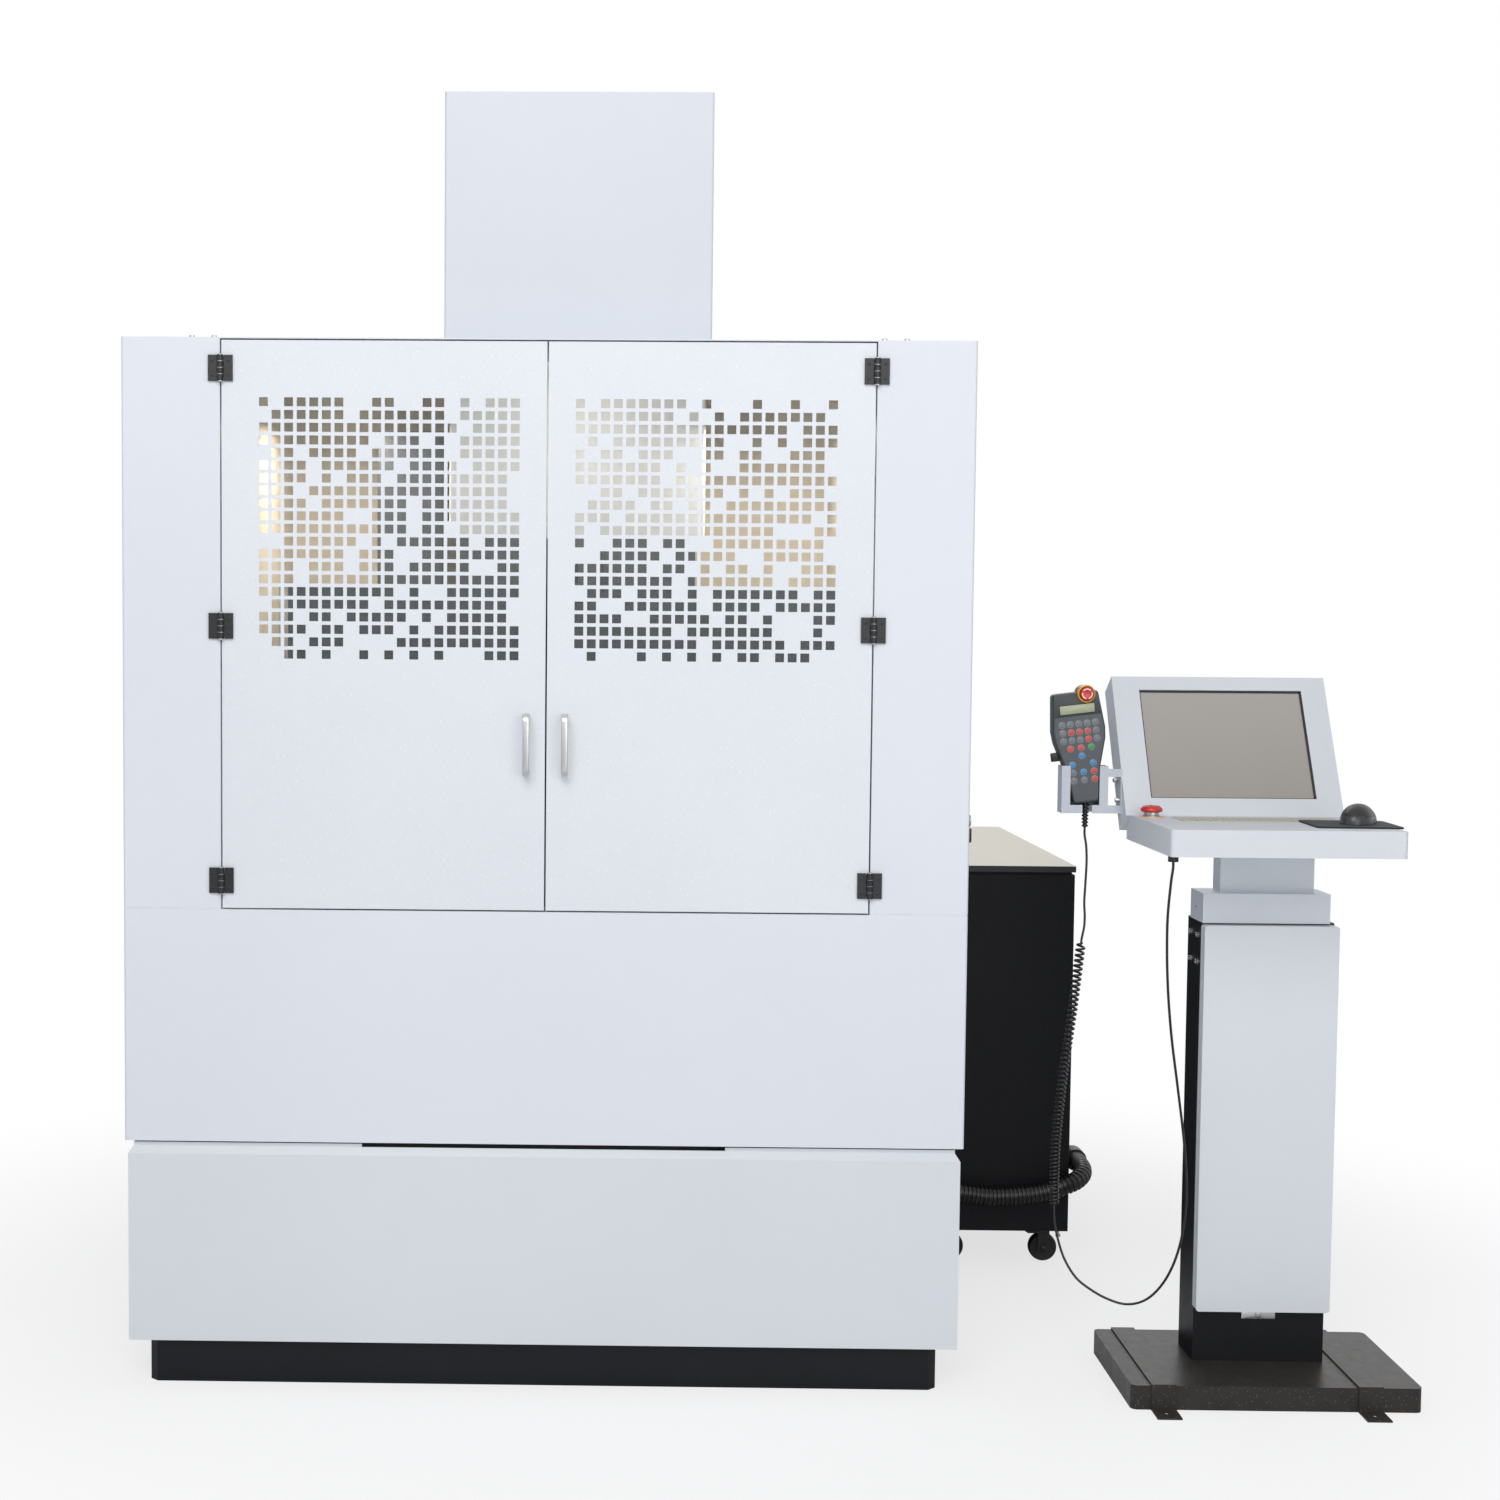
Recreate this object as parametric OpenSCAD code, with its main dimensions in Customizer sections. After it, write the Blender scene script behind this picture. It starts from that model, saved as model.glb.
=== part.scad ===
// Wire-cutting spark erosion machine: pierced-door enclosure, power cabinet and console.
// The origin is on the floor under the middle of the enclosure. +Z is up, the front faces -Y.

/* [Enclosure] */
// Width across the enclosure
body_w = 1526; // [1500:1:1640]
// Depth of the enclosure from its front face to its back
body_d = 1600; // [1560:1:1800]
// Height of the roof above the floor
body_h = 1902; // [1880:1:2000]
// Thickness of the sheet metal
sheet_t = 2; // [1.5:0.5:3]
// Width of the folds that stiffen the sheet edges
fold_w = 35; // [25:1:45]
// Gap left round each door
seam_gap = 3; // [2:0.5:5]
// Outside radius of the folded sheet corners
bend_r = 5; // [3:0.5:8]

/* [Base covers] */
// Height where the doors end and the middle cover begins
seam_z = 876; // [860:1:900]
// Height of the shadow line between the middle cover and the side panels
seam_line = 2; // [1:0.5:3]
// Depth of that line in the sheet
seam_depth = 1; // [0.5:0.1:1.2]
// Height of the middle cover's lower edge
middle_z = 451; // [448:1:470]
// Height where the lower cover's bevel begins
bevel_z = 427; // [380:1:430]
// Height of the lower cover's bottom edge
skirt_z = 81; // [60:1:83]
// How far the lower cover sits inside the middle cover
skirt_inset = 6; // [2:1:12]
// Height of the lower cover's bevel
bevel_h = 14; // [8:1:18]
// Width of the lower cover's bevel
bevel_w = 9; // [5:1:14]
// Height of the rim above the bevel
rim_h = 6; // [4:1:8]
// Length of the slot cut in the rim above the bed
slot_w = 662; // [400:1:900]
// Depth of the sill behind the doors
sill_d = 105; // [100:1:108]

/* [Plinth and bed] */
// Width of the plinth
plinth_w = 1444; // [1400:1:1470]
// Height of the plinth
plinth_h = 84; // [84:1:100]
// How far the plinth's front stands behind the covers
plinth_inset = 17; // [10:1:30]
// Chamfer at the plinth's upright corners
plinth_chamfer = 14; // [5:1:30]
// Width of the bed casting
bed_w = 1200; // [1150:1:1260]
// Height of the bed's machined top
bed_top = 560; // [540:1:570]
// Wall of the hollow bed, plinth and column
casting_wall = 32; // [20:1:40]
// Width of one slideway rail
rail_w = 40; // [30:1:45]
// Height of one slideway rail
rail_h = 28; // [24:1:32]
// Running gap between a slide and its rail
slide_gap = 0.3; // [0.2:0.05:0.5]

/* [Doors] */
// Half of the opening between the side panels
door_half = 586; // [580:1:595]
// Depth of the fold round each door
door_fold = 20; // [14:1:26]
// Distance from the middle seam to the first pierced column
mosaic_start = 50; // [40:1:60]
// Distance from the door's top to its field of squares
mosaic_drop = 101; // [90:1:120]
// Distance between pierced squares
mosaic_pitch = 22.5; // [21:0.1:23]
// Side of one pierced square
mosaic_hole = 16; // [12:0.5:18]
// Pierced squares along each side of the field
mosaic_n = 21; // [12:1:21]
// Share of the squares that stay closed
mosaic_closed_share = 0.17; // [0:0.01:0.5]
// Thickness of the clear pane behind each pierced field
pane_t = 4; // [3:0.5:6]
// Width of one hinge, both leaves
hinge_w = 44; // [38:1:50]
// Height of one hinge
hinge_h = 46; // [40:1:52]
// Thickness of a hinge leaf
leaf_t = 5; // [4:0.5:6]
// Radius of a hinge knuckle
knuckle_r = 6; // [5:0.25:7]
// Radius of a hinge pin
hinge_pin_r = 2.5; // [2:0.1:3]
// Radial running gap on the hinge pins
pin_gap = 0.05; // [0.03:0.01:0.1]
// Distance between the two feet of a door handle
handle_span = 100; // [90:1:120]
// Width of a handle's grip
handle_w = 12; // [10:0.5:14]
// How far a handle stands out from its door
handle_reach = 36; // [30:1:42]

/* [Column and head] */
// Distance of the column's middle from the enclosure's middle
column_x = 43; // [20:1:60]
// Width of the column casting
column_w = 460; // [420:1:480]
// Depth of the column casting
column_d = 450; // [400:1:460]
// Distance from the enclosure's front to the column's face
column_back = 700; // [696:1:710]
// Gap between the column and the top of its cover
column_clear = 52; // [30:1:80]
// Width of the cover over the column
cover_w = 546; // [540:1:570]
// Depth of the cover over the column
cover_d = 580; // [570:1:600]
// Height of the cover above the roof
cover_h = 570; // [560:1:600]
// Width of the head that slides on the column
head_w = 526; // [500:1:530]
// Thickness of the head
head_t = 54; // [45:1:60]
// Height of the head's underside at rest
head_z = 1572; // [1560:1:1580]
// Height of the head itself
head_h = 430; // [400:1:440]

/* [Wire arms] */
// Distance from the enclosure's front to the cutting wire
wire_back = 500; // [490:1:510]
// Diameter of the cutting wire
wire_d = 0.2; // [0.18:0.01:0.25]
// Radius of the wire's path round a pulley
pulley_path_r = 24; // [20:0.5:26]
// Outside radius of a guide pulley
pulley_r = 27; // [26.5:0.5:30]
// Width of a guide pulley
pulley_w = 9; // [8:0.5:11]
// Radius of a pulley's pin
pulley_pin_r = 5; // [4:0.25:6]
// Width of each arm
arm_w = 100; // [80:1:110]
// Height of the lower arm's underside
lower_arm_z = 866; // [862:1:870]
// Height of the lower arm itself
lower_arm_h = 70; // [66:1:74]
// Length of each nozzle
nozzle_h = 46; // [36:1:50]
// Outside radius of each nozzle
nozzle_r = 16; // [13:0.5:20]
// Radius of the wire's bore in each nozzle
nozzle_bore_r = 1; // [0.8:0.1:1.5]

/* [Work table] */
// Width of the table frame
table_w = 700; // [680:1:720]
// Depth of the table frame
table_d = 330; // [310:1:335]
// Height of the table's work face above the floor
table_top = 992; // [990:1:996]
// Width of the table frame's bars
table_bar = 70; // [60:1:75]
// Thickness of the table frame's bars
table_t = 50; // [40:1:55]
// Radius of the tapped holes in the table frame
table_hole_r = 4.25; // [3.3:0.05:5]
// Distance from the enclosure's front to the table at rest
table_back = 230; // [228:1:235]

/* [Wire drum] */
// Radius of the wire drum
drum_r = 80; // [70:1:90]
// Length of the wire drum
drum_l = 200; // [180:1:220]
// Radius of the drum's shaft
shaft_r = 15; // [12:0.5:18]
// Distance from the enclosure's front to the drum's axis
drum_back = 1300; // [1290:1:1340]
// Height of the drum's axis above its carriage plate
drum_axis_h = 120; // [100:1:130]
// Radius of the drum motor
motor_r = 60; // [50:1:70]
// Length of the drum motor
motor_l = 150; // [120:1:170]

/* [Splash guard and chamber] */
// Height of the splash guard's top edge above the floor
guard_top = 1460; // [1400:1:1500]
// Left end of the splash guard from the enclosure's middle
guard_left = 488; // [480:1:500]
// Right end of the splash guard from the enclosure's middle
guard_right = 572; // [560:1:574]
// Thickness of the splash guard
guard_t = 4; // [3:0.5:6]
// Distance from the enclosure's front to the splash guard
guard_back = 86; // [84:1:90]
// Distance from the enclosure's front to the chamber's back wall
chamber_back = 1000; // [990:1:1020]

/* [Power cabinet] */
// Width of the cabinet
cabinet_w = 330; // [320:1:340]
// Depth of the cabinet
cabinet_d = 995; // [900:1:1100]
// Height of the cabinet's lid above the floor
cabinet_h = 884; // [800:1:950]
// Distance of the cabinet's right side from the enclosure's middle
cabinet_right = 1120; // [1115:1:1125]
// Distance from the enclosure's front to the cabinet's front
cabinet_back = 822; // [816:1:830]
// Thickness of the cabinet's lid
lid_t = 13; // [10:1:16]
// Gap under the lid
lid_gap = 6; // [4:1:10]
// Height of the cabinet's underside above the floor
cabinet_lift = 86; // [84:1:90]
// Radius of a caster's wheel
wheel_r = 31; // [28:0.5:32]
// Width of a caster's wheel
wheel_w = 26; // [22:1:30]
// Distance of a swivel caster's wheel behind its swivel axis
caster_trail = 22; // [16:1:26]

/* [Conduit] */
// Outside diameter of the ribbed conduit
conduit_d = 40; // [36:1:40]
// Depth of the conduit's grooves
conduit_groove = 2.6; // [1.5:0.1:3.5]
// Diameter of the conduit's bore
conduit_bore = 30; // [24:1:31]
// Distance between the conduit's ribs
conduit_pitch = 9; // [7:0.5:12]

/* [Console stand] */
// Distance of the stand's middle from the enclosure's middle
stand_x = 1322; // [1310:1:1340]
// Distance from the enclosure's front plane back to the post's face
post_back = 72; // [60:1:80]
// Width of the post
post_w = 240; // [220:1:250]
// Depth of the post
post_d = 103; // [90:1:110]
// Height of the post's top above the floor
post_h = 860; // [840:1:880]
// Width of the base plate
base_w = 519; // [480:1:560]
// Depth of the base plate
base_d = 332; // [300:1:380]
// Thickness of the base plate
base_h = 44; // [36:1:50]
// Width of each strap over the base plate
strap_w = 44; // [36:1:50]
// Thickness of each strap
strap_t = 3; // [2:0.5:4]
// Distance between the middles of the two straps
strap_span = 369; // [340:1:380]
// Distance between the front and back anchor holes
anchor_span = 382; // [380:1:390]
// Radius of an anchor hole
anchor_r = 5.5; // [4.5:0.25:6.5]

/* [Console head] */
// Width of the console's tray
tray_w = 404; // [400:1:420]
// Depth of the console's tray
tray_d = 349; // [330:1:360]
// Thickness of the console's tray
tray_t = 47; // [40:1:52]
// Height of the tray's underside above the floor
tray_z = 1005; // [990:1:1020]
// Length of the screen housing's sloping face
face_l = 294; // [280:1:310]
// Lean of the screen housing from upright
face_lean = 30.8; // [24:0.1:34]
// Thickness of the screen housing
face_t = 62; // [50:1:75]
// Width of the screen's visible area
screen_w = 304; // [290:1:320]
// Height of the screen's visible area
screen_h = 228; // [215:1:240]
// Diameter of the stop button's head
stop_d = 40; // [36:1:40]
// Travel of a stop button
stop_travel = 5; // [3:0.5:6]

/* [Handset] */
// Height of the handset's case
handset_h = 214; // [200:1:220]
// Thickness of the handset's case
handset_t = 32; // [28:1:33]
// Lean of the handset in its holder
handset_lean = 7; // [4:0.5:7]
// Diameter of the handset's cord
cord_d = 4.6; // [4:0.1:5]
// Outside diameter of the cord's curls
curl_d = 19; // [16:0.5:20]
// Number of curls
curl_n = 60; // [40:1:64]

/* [Hidden] */
$fn = 48;

// Overrun of a cut past the face that it opens
cut = 1;
// Gap between two pieces that only lie near each other
rest_gap = 0.3;
half_w = body_w / 2;
front = -body_d / 2;
back = body_d / 2;
panel_top = body_h - sheet_t;
door_bottom = seam_z + seam_gap;
door_top = panel_top - seam_gap;
column_h = body_h + cover_h - column_clear;
skirt_half = half_w - skirt_inset;
rim_z = bevel_z + bevel_h + rim_h;
// Lap of the lower cover's flange on the plinth
flange_lap = 20;
// Wall of the covers' corner radius inside
bend_in = bend_r - sheet_t;

// Distance of the bed's front behind the enclosure's front
bed_back = 60;
// Air under a bolted-on rail of the bed
rail_seat = 0.05;
// Depth of the bed casting
bed_d = 1460;
// Half the distance between the bed's rails
bed_rail_x = 300;
// Front end of the bed's rails
bed_rail_back = 110;
// Length of the bed's rails
bed_rail_l = 580;
// Depth and height of a bracket between the bed and the covers
bracket_d = 60;
bracket_h = 50;
// Distance of the brackets' tops below the bed's top
bracket_drop = 10;
// Distances of the brackets behind the enclosure's front
bracket_backs = [300, 1200];

// Height of the fold that hangs under the roof's front edge
header_h = 36;
// Distance from the enclosure's front to that fold
header_back = 24;

hinge_x = door_half - seam_gap / 2;
// Gap between a knuckle and the door's face
hinge_lift = 0.4;
hinge_y = front - knuckle_r - hinge_lift;
// Distances of the outer hinges from the door's ends
hinge_edge = 50;
hinge_zs = [door_bottom + hinge_edge, (door_bottom + door_top) / 2, door_top - hinge_edge];
// Gap between a leaf and the other leaf's knuckles
leaf_gap = 0.5;
knuckle_h = hinge_h / 3;

mosaic_span = (mosaic_n - 1) * mosaic_pitch + mosaic_hole;
mosaic_z = door_top - mosaic_drop - mosaic_span;
// Share of the field's outer squares that stay closed
mosaic_edge_share = 0.4;
// Which squares are closed: a seed for each door, and the steps of the scatter
left_seed = 3;
right_seed = 8;
scatter_i = 127.1;
scatter_j = 311.7;
scatter_seed = 74.7;
scatter_gain = 4375.85;
// Lap of the pane past the pierced field
pane_lap = 12;

// Height of the handles' middle above the floor
handle_z = 1179;
// Distance of each handle from the middle seam
handle_x = 34.5;
// Thickness of a handle's grip and outside radius of its bends
grip_t = 8;
grip_r = 14;
handle_h = handle_span + handle_w;

column_face = front + column_back;
// Width, depth and foot height of the column's rails
z_rail_w = 50;
z_rail_d = 25;
z_rail_low = 1100;
// Distance of each rail from the column's middle
z_rail_x = 150;
// Distance of the rails' top below the column's top
z_rail_drop = 20;
head_back_y = column_face - z_rail_d - slide_gap;
head_front_y = head_back_y - head_t;
// Distance from the enclosure's front to the column cover's face
cover_back = 600;
// Overlap of the roof's edge under the column cover
cover_lap = 4;

wire_y = front + wire_back;
pulley_y = wire_y + pulley_path_r;
// Height of the block that joins the upper arm to the head
arm_block_h = 100;
// How far that block is narrower than the head
arm_block_inset = 20;
// Height of the upper arm
upper_arm_h = 84;
upper_arm_z = head_z - arm_block_h;
// Distance from the wire to the arms' noses
nose_reach = 30;
// Depth of the block on the head, front to back
arm_block_d = 74;
// Gap between a pulley and its slot
pulley_gap = 1.5;
// Radius of the narrow end of a nozzle
nozzle_tip_r = 8;
lower_pulley_z = lower_arm_z + lower_arm_h / 2;
upper_pulley_z = upper_arm_z + lower_arm_h / 2;
wire_gap = 0.03;

table_half = table_w / 2;
table_y = front + table_back;
// Thickness of the saddle and of the table's base
saddle_t = 52;
table_base_t = 32;
// Width of a saddle shoe's lip beside its rail
lip_w = 15;
// Length of the table's shoes along the rails
table_shoe_l = 300;
saddle_half = 360;
// Distance of the saddle behind the table's front and its depth
saddle_in = 30;
saddle_d = 270;
// Distance of the saddle's rails from its middle
saddle_rail_y = 95;
saddle_z = bed_top + rail_h + slide_gap;
table_z = saddle_z + saddle_t + rail_h + slide_gap;
saddle_mid_y = table_y + saddle_in + saddle_d / 2;
// Width of the posts that carry the table frame
table_post = 40;
// Height of the pan's walls on the table's base
pan_h = 130;
// Distance of the pan's walls behind the posts' inner faces
pan_inset = 4;
// Distance of the tapped holes from the table's middle
table_hole_x = 295;
table_hole_y = 120;

drum_y = front + drum_back;
// Width, thickness and side gap of the drum's carriage uprights
upright_t = 20;
upright_w = 90;
upright_gap = 15;
// Thickness of the carriage plate and how far it runs past its parts
carriage_t = 20;
carriage_over = 20;
// Distance of the drum's rails from its axis and length of the rails
drum_rail_y = 60;
drum_rail_l = 660;
carriage_z = bed_top + rail_h + slide_gap;
drum_z = carriage_z + carriage_t + drum_axis_h;
// Height of an upright above the shaft
upright_over = 35;
// Depth of the shaft's bore in the motor and length of the shaft in it
motor_bore_l = 75;
motor_shaft_l = 50;
// Wound layer of wire on the drum and how far it ends from the drum's edges
winding_t = 0.6;
winding_margin = 15;

// Size of the tension housing beside the column
tension_w = 140;
tension_d = 120;
tension_z = 900;
tension_h = 897;
// Gap between the tension housing and the head
tension_gap = 16;
tension_right = column_x - head_w / 2 - tension_gap;
// Height and depth of the brackets that carry the tension housing
tension_bracket = 40;
// Heights of those brackets above the housing's foot
tension_bracket_zs = [100, 700];

// Size of the guard's channels
channel_wall = 4;
channel_grip = 12;
guard_gap = 0.5;

// Cabinet values: overhang of the lid, inset of the neck under it, wall of the body
lid_over = 2;
neck_inset = 6;
cabinet_wall = 6;
cabinet_x = [cabinet_right - cabinet_w, cabinet_right];
cabinet_y = [front + cabinet_back, front + cabinet_back + cabinet_d];
// Insets of the casters' swivel axes from the cabinet's sides and front
caster_inset_x = 62;
caster_inset_y = 83;
caster_plate = 76;
caster_plate_t = 4;
// Radii and lengths of the casters' kingpins, axles and forks
kingpin_r = 8;
kingpin_l = 14;
axle_r = 4;
fork_t = 3;
fork_crown_t = 5;
fork_gap = 1.5;
fork_leg_w = 26;
caster_xs = [cabinet_x[0] + caster_inset_x, cabinet_x[1] - caster_inset_x];
caster_ys = [cabinet_y[0] + caster_inset_y, cabinet_y[1] - caster_inset_y];
caster_plate_z = cabinet_lift - caster_plate_t;

// Route of the conduit, from the enclosure round to the cabinet's side
conduit_route = [
    [782, -15, 185], [822, -15, 184], [884, -15, 178], [950, -15, 171], [1028, -15, 176],
    [1070, -15, 184], [1105, -15, 196], [1128, -9, 205], [1144, 7, 214], [1150, 30, 221],
    [1150, 60, 225], [1150, 100, 225],
];
// Length of the fitting on the machine and reach of the elbow on the cabinet
fitting_l = 25;
fitting_r = 24;
elbow_l = 40;

// Console values
post_front = front + post_back;
post_wall = 4;
// Distance from the stand's middle to the base plate's middle, to the left
base_shift = 4.5;
// Distance of the post's face behind the base plate's front edge
base_front = 147;
base_r = 12;
base_y = [post_front - base_front, post_front - base_front + base_d];
base_x = stand_x - base_shift;
strap_x = stand_x - 22.5;
// Length of the straps' anchor tabs past the base plate
tab_l = 50;
// Size of the cover on the post's face
post_cover_w = 244;
post_cover_d = 28;
post_cover_z = 144;
post_cover_drop = 3;
post_cover_r = 6;
// Size and place of the neck's two steps
collar_w = 231;
collar_h = 54;
collar_d = 90;
collar_shift = 7;
collar_in = -12;
stem_w = 171;
stem_d = 50;
stem_in = 8;
stem_shift = 2;
// Middle of the tray from the stand's middle, to the left, and its reach to the front
tray_shift = 44;
tray_front = 271;
tray_x = stand_x - tray_shift;
tray_y = [post_front - tray_front, post_front - tray_front + tray_d];
tray_top = tray_z + tray_t;
shell_wall = 3;
tray_r = 8;
// Width of the screen housing and its middle from the tray's middle
face_w = 400;
face_shift = 12;
face_x = tray_x - face_shift;
// Distance of the housing's lower edge from the tray's back
face_back = 44;
face_y = tray_y[1] - face_back;
// Screen's place on the housing, its recess and its thickness
screen_low = 37;
screen_shift = 2;
screen_recess = 3;
screen_t = 8;
// Keyboard's place on the tray
keyboard_w = 295;
keyboard_d = 92;
keyboard_t = 3;
keyboard_in = 1;
keyboard_x = 64;
keyboard_y = 188;
key_n = 18;
key_rows = 5;
key_gap = 3;
key_rise = 0.8;
// Stop button's place on the tray from its left and front edges, and its pieces
stop_x = 28;
stop_y = 269;
stop_ring_r = 23;
stop_ring_t = 1.5;
stop_collar_r = 13.5;
stop_collar_h = 10;
stop_head_h = 12;
stop_skirt = 7;
stop_round_r = 3;
stop_stem_l = 8;
stop_stem_r = 8;
stop_stem_gap = 0.3;
stop_bore_l = 15;
// Mouse pad and mouse
pad_w = 148;
pad_d = 142;
pad_t = 3;
pad_x = 343;
pad_y = 124;
pad_turn = -3;
mouse_l = 104;
mouse_w = 60;
mouse_h = 36;
mouse_turn = 58;
mouse_nose_r = 12;
mouse_tail_r = 15;
mouse_back = 9;
mouse_sides = 28;
mouse_x = 362;
mouse_y = 140;

// Handset holder and handset
holder_x = [955, 1041];
holder_t = 2;
holder_z = 1052;
holder_shelf = 1067;
holder_top = 1140;
holder_y = [-653.5, -614];
holder_lip = 16;
arm_z = [1120, 1135];
handset_x = 1003;
handset_y = -650;
handset_z = holder_shelf + rest_gap;
relief_z = 1025;
relief_r = 7;
relief_core_r = 5.2;
relief_ring_n = 7;
slot_r = 9;
// Outline of the handset: shares of its height, and half widths there
outline_shares = [0.02, 0.33, 0.56, 0.66, 0.985];
outline_w = [24, 33, 47, 49, 42];
outline_r = 3;
key_r = 5;
keypad_t = 0.6;
key_pitch_x = 15.5;
key_pitch_z = 15;
key_top_z = 152;
// Keys in each row, from the top
keypad_rows = [5, 5, 5, 3, 3, 3, 3, 3];
lcd_w = 64;
lcd_h = 16;
lcd_z = 184;
handset_stop_x = 19;
handset_stop_z = 206;
handset_stop_r = 13;
handset_stop_h = 9;
handset_stem_r = 7;
handset_stem_l = 4;
lobe_r = 16;

// Cord: gland under the tray, straight top, curls and tail
gland_r = 9;
cord_ref = [0, 1, 0];
cord_top_route = [
    [1003, -634, 1025], [1003, -634, 1010], [1006, -636, 990], [1007, -638, 960], [1005, -641, 920],
    [1003, -644, 885], [1004, -646, 860], [1003, -648, 840], [1000, -650, 826], [998, -650, 815],
];
curl_route = [[998, -650, 815], [984, -654, 690], [966, -664, 560], [953, -674, 430], [951, -681, 316]];
cord_tail_route = [
    [951, -681, 316], [952, -684, 290], [957, -688, 262], [968, -694, 226], [985, -702, 196],
    [1004, -710, 178], [1040, -722, 158], [1078, -735, 150], [1112, -750, 165], [1140, -766, 205],
    [1158, -782, 262], [1165, -798, 330], [1162, -815, 400], [1151, -833, 480], [1132, -856, 580],
    [1112, -882, 680], [1097, -908, 780], [1089, -930, 880], [1090, -943, 950], [1093, -945, 980],
    [1093, -945, 992],
];

// Cord making: sides of a ring, distance between rings, points between the route's
cord_sides = 8;
cord_step = 20;
cord_smooth = 6;
curl_rings = 8;
curl_sides = 6;
// Share by which the upper curls stand wider apart, and the turns taken to reach full width
curl_ease_share = 0.22;
curl_ramp_share = 0.8;
conduit_sides = 8;
conduit_bore_step = 8;
gland_end = cord_tail_route[len(cord_tail_route) - 1];
// Share of the upper keys' spacing that the lower keys stand apart
key_spread_share = 1.25;

// A block between two corners, given as ranges
module block(x, y, z) {
    translate([x[0], y[0], z[0]])
        cube([x[1] - x[0], y[1] - y[0], z[1] - z[0]]);
}

// A rectangle with round corners, given as ranges
module round_rect(x, y, r) {
    translate([x[0] + r, y[0]]) square([x[1] - x[0] - 2 * r, y[1] - y[0]]);
    translate([x[0], y[0] + r]) square([x[1] - x[0], y[1] - y[0] - 2 * r]);
    for (i = [0, 1], j = [0, 1])
        translate([x[i] + (1 - 2 * i) * r, y[j] + (1 - 2 * j) * r]) circle(r);
}

module round_block(x, y, z, r) {
    translate([0, 0, z[0]]) linear_extrude(z[1] - z[0]) round_rect(x, y, r);
}

// A flat shape drawn in X and Z, given its thickness in Y from a starting plane
module upright(y, t) {
    translate([0, y + t, 0]) rotate([90, 0, 0]) linear_extrude(t) children();
}

// A shape drawn in Y and Z, extruded along X
module along_x(x, l) {
    translate([x, 0, 0]) rotate([90, 0, 90]) linear_extrude(l) children();
}

module cyl_x(x, y, z, r, l) {
    translate([x, y, z]) rotate([0, 90, 0]) cylinder(r = r, h = l);
}

module cyl_y(x, y, z, r, l) {
    translate([x, y, z]) rotate([-90, 0, 0]) cylinder(r = r, h = l);
}

module cyl_z(x, y, z, r, l) {
    translate([x, y, z]) cylinder(r = r, h = l);
}

// Enclosure outline as a sheet with round corners
module outline_sheet() {
    difference() {
        round_rect([-half_w, half_w], [front, back], bend_r);
        round_rect([sheet_t - half_w, half_w - sheet_t], [front + sheet_t, back - sheet_t], bend_in);
    }
}

// A stretch of that sheet inside a rectangle
module sheet_part(x, y, z) {
    translate([0, 0, z[0]]) linear_extrude(z[1] - z[0]) intersection() {
        outline_sheet();
        translate([x[0], y[0]]) square([x[1] - x[0], y[1] - y[0]]);
    }
}

module plinth() {
    x = plinth_w / 2;
    y = [front + plinth_inset, back - plinth_inset];
    c = plinth_chamfer;
    w = casting_wall;
    pit = [front + bed_back + w, front + bed_back + bed_d - w];
    color("#26282d") difference() {
        linear_extrude(plinth_h) polygon([
            [-x + c, y[0]], [x - c, y[0]], [x, y[0] + c], [x, y[1] - c],
            [x - c, y[1]], [c - x, y[1]], [-x, y[1] - c], [-x, y[0] + c],
        ]);
        block([w - bed_w / 2, bed_w / 2 - w], pit, [w, plinth_h + cut]);
    }
}

module bed() {
    y0 = front + bed_back;
    bracket_z = bed_top - bracket_drop;
    w = casting_wall;
    seat = bed_top + rail_seat;
    color("#4a4648") {
        difference() {
            union() {
                block([-bed_w / 2, bed_w / 2], [y0, y0 + bed_d], [plinth_h, bed_top]);
                for (b = bracket_backs)
                    block([sheet_t - half_w, half_w - sheet_t], [front + b, front + b + bracket_d],
                        [bracket_z - bracket_h, bracket_z]);
            }
            for (s = [-1, 1])
                block([min(s * w / 2, s * (bed_w / 2 - w)), max(s * w / 2, s * (bed_w / 2 - w))],
                    [y0 + w, y0 + bed_d - w], [plinth_h - cut, bed_top - w]);
        }
        for (s = [-1, 1]) {
            x = column_x + s * bed_rail_x;
            block([x - rail_w / 2, x + rail_w / 2],
                [front + bed_rail_back, front + bed_rail_back + bed_rail_l], [seat, bed_top + rail_h]);
            y = drum_y + s * drum_rail_y;
            block([column_x - drum_rail_l / 2, column_x + drum_rail_l / 2],
                [y - rail_w / 2, y + rail_w / 2], [seat, bed_top + rail_h]);
        }
    }
}

// Section of the lower cover across half its width or depth
module skirt_section(h, low, high) {
    polygon([
        [-h, low], [h, low], [h, bevel_z], [h - bevel_w, bevel_z + bevel_h], [h - bevel_w, high],
        [bevel_w - h, high], [bevel_w - h, bevel_z + bevel_h], [-h, bevel_z],
    ]);
}

module skirt_solid(inset, low, high) {
    intersection() {
        upright(front, body_d) skirt_section(skirt_half - inset, low, high);
        along_x(-half_w, body_w) skirt_section(body_d / 2 - inset, low, high);
    }
}

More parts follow.
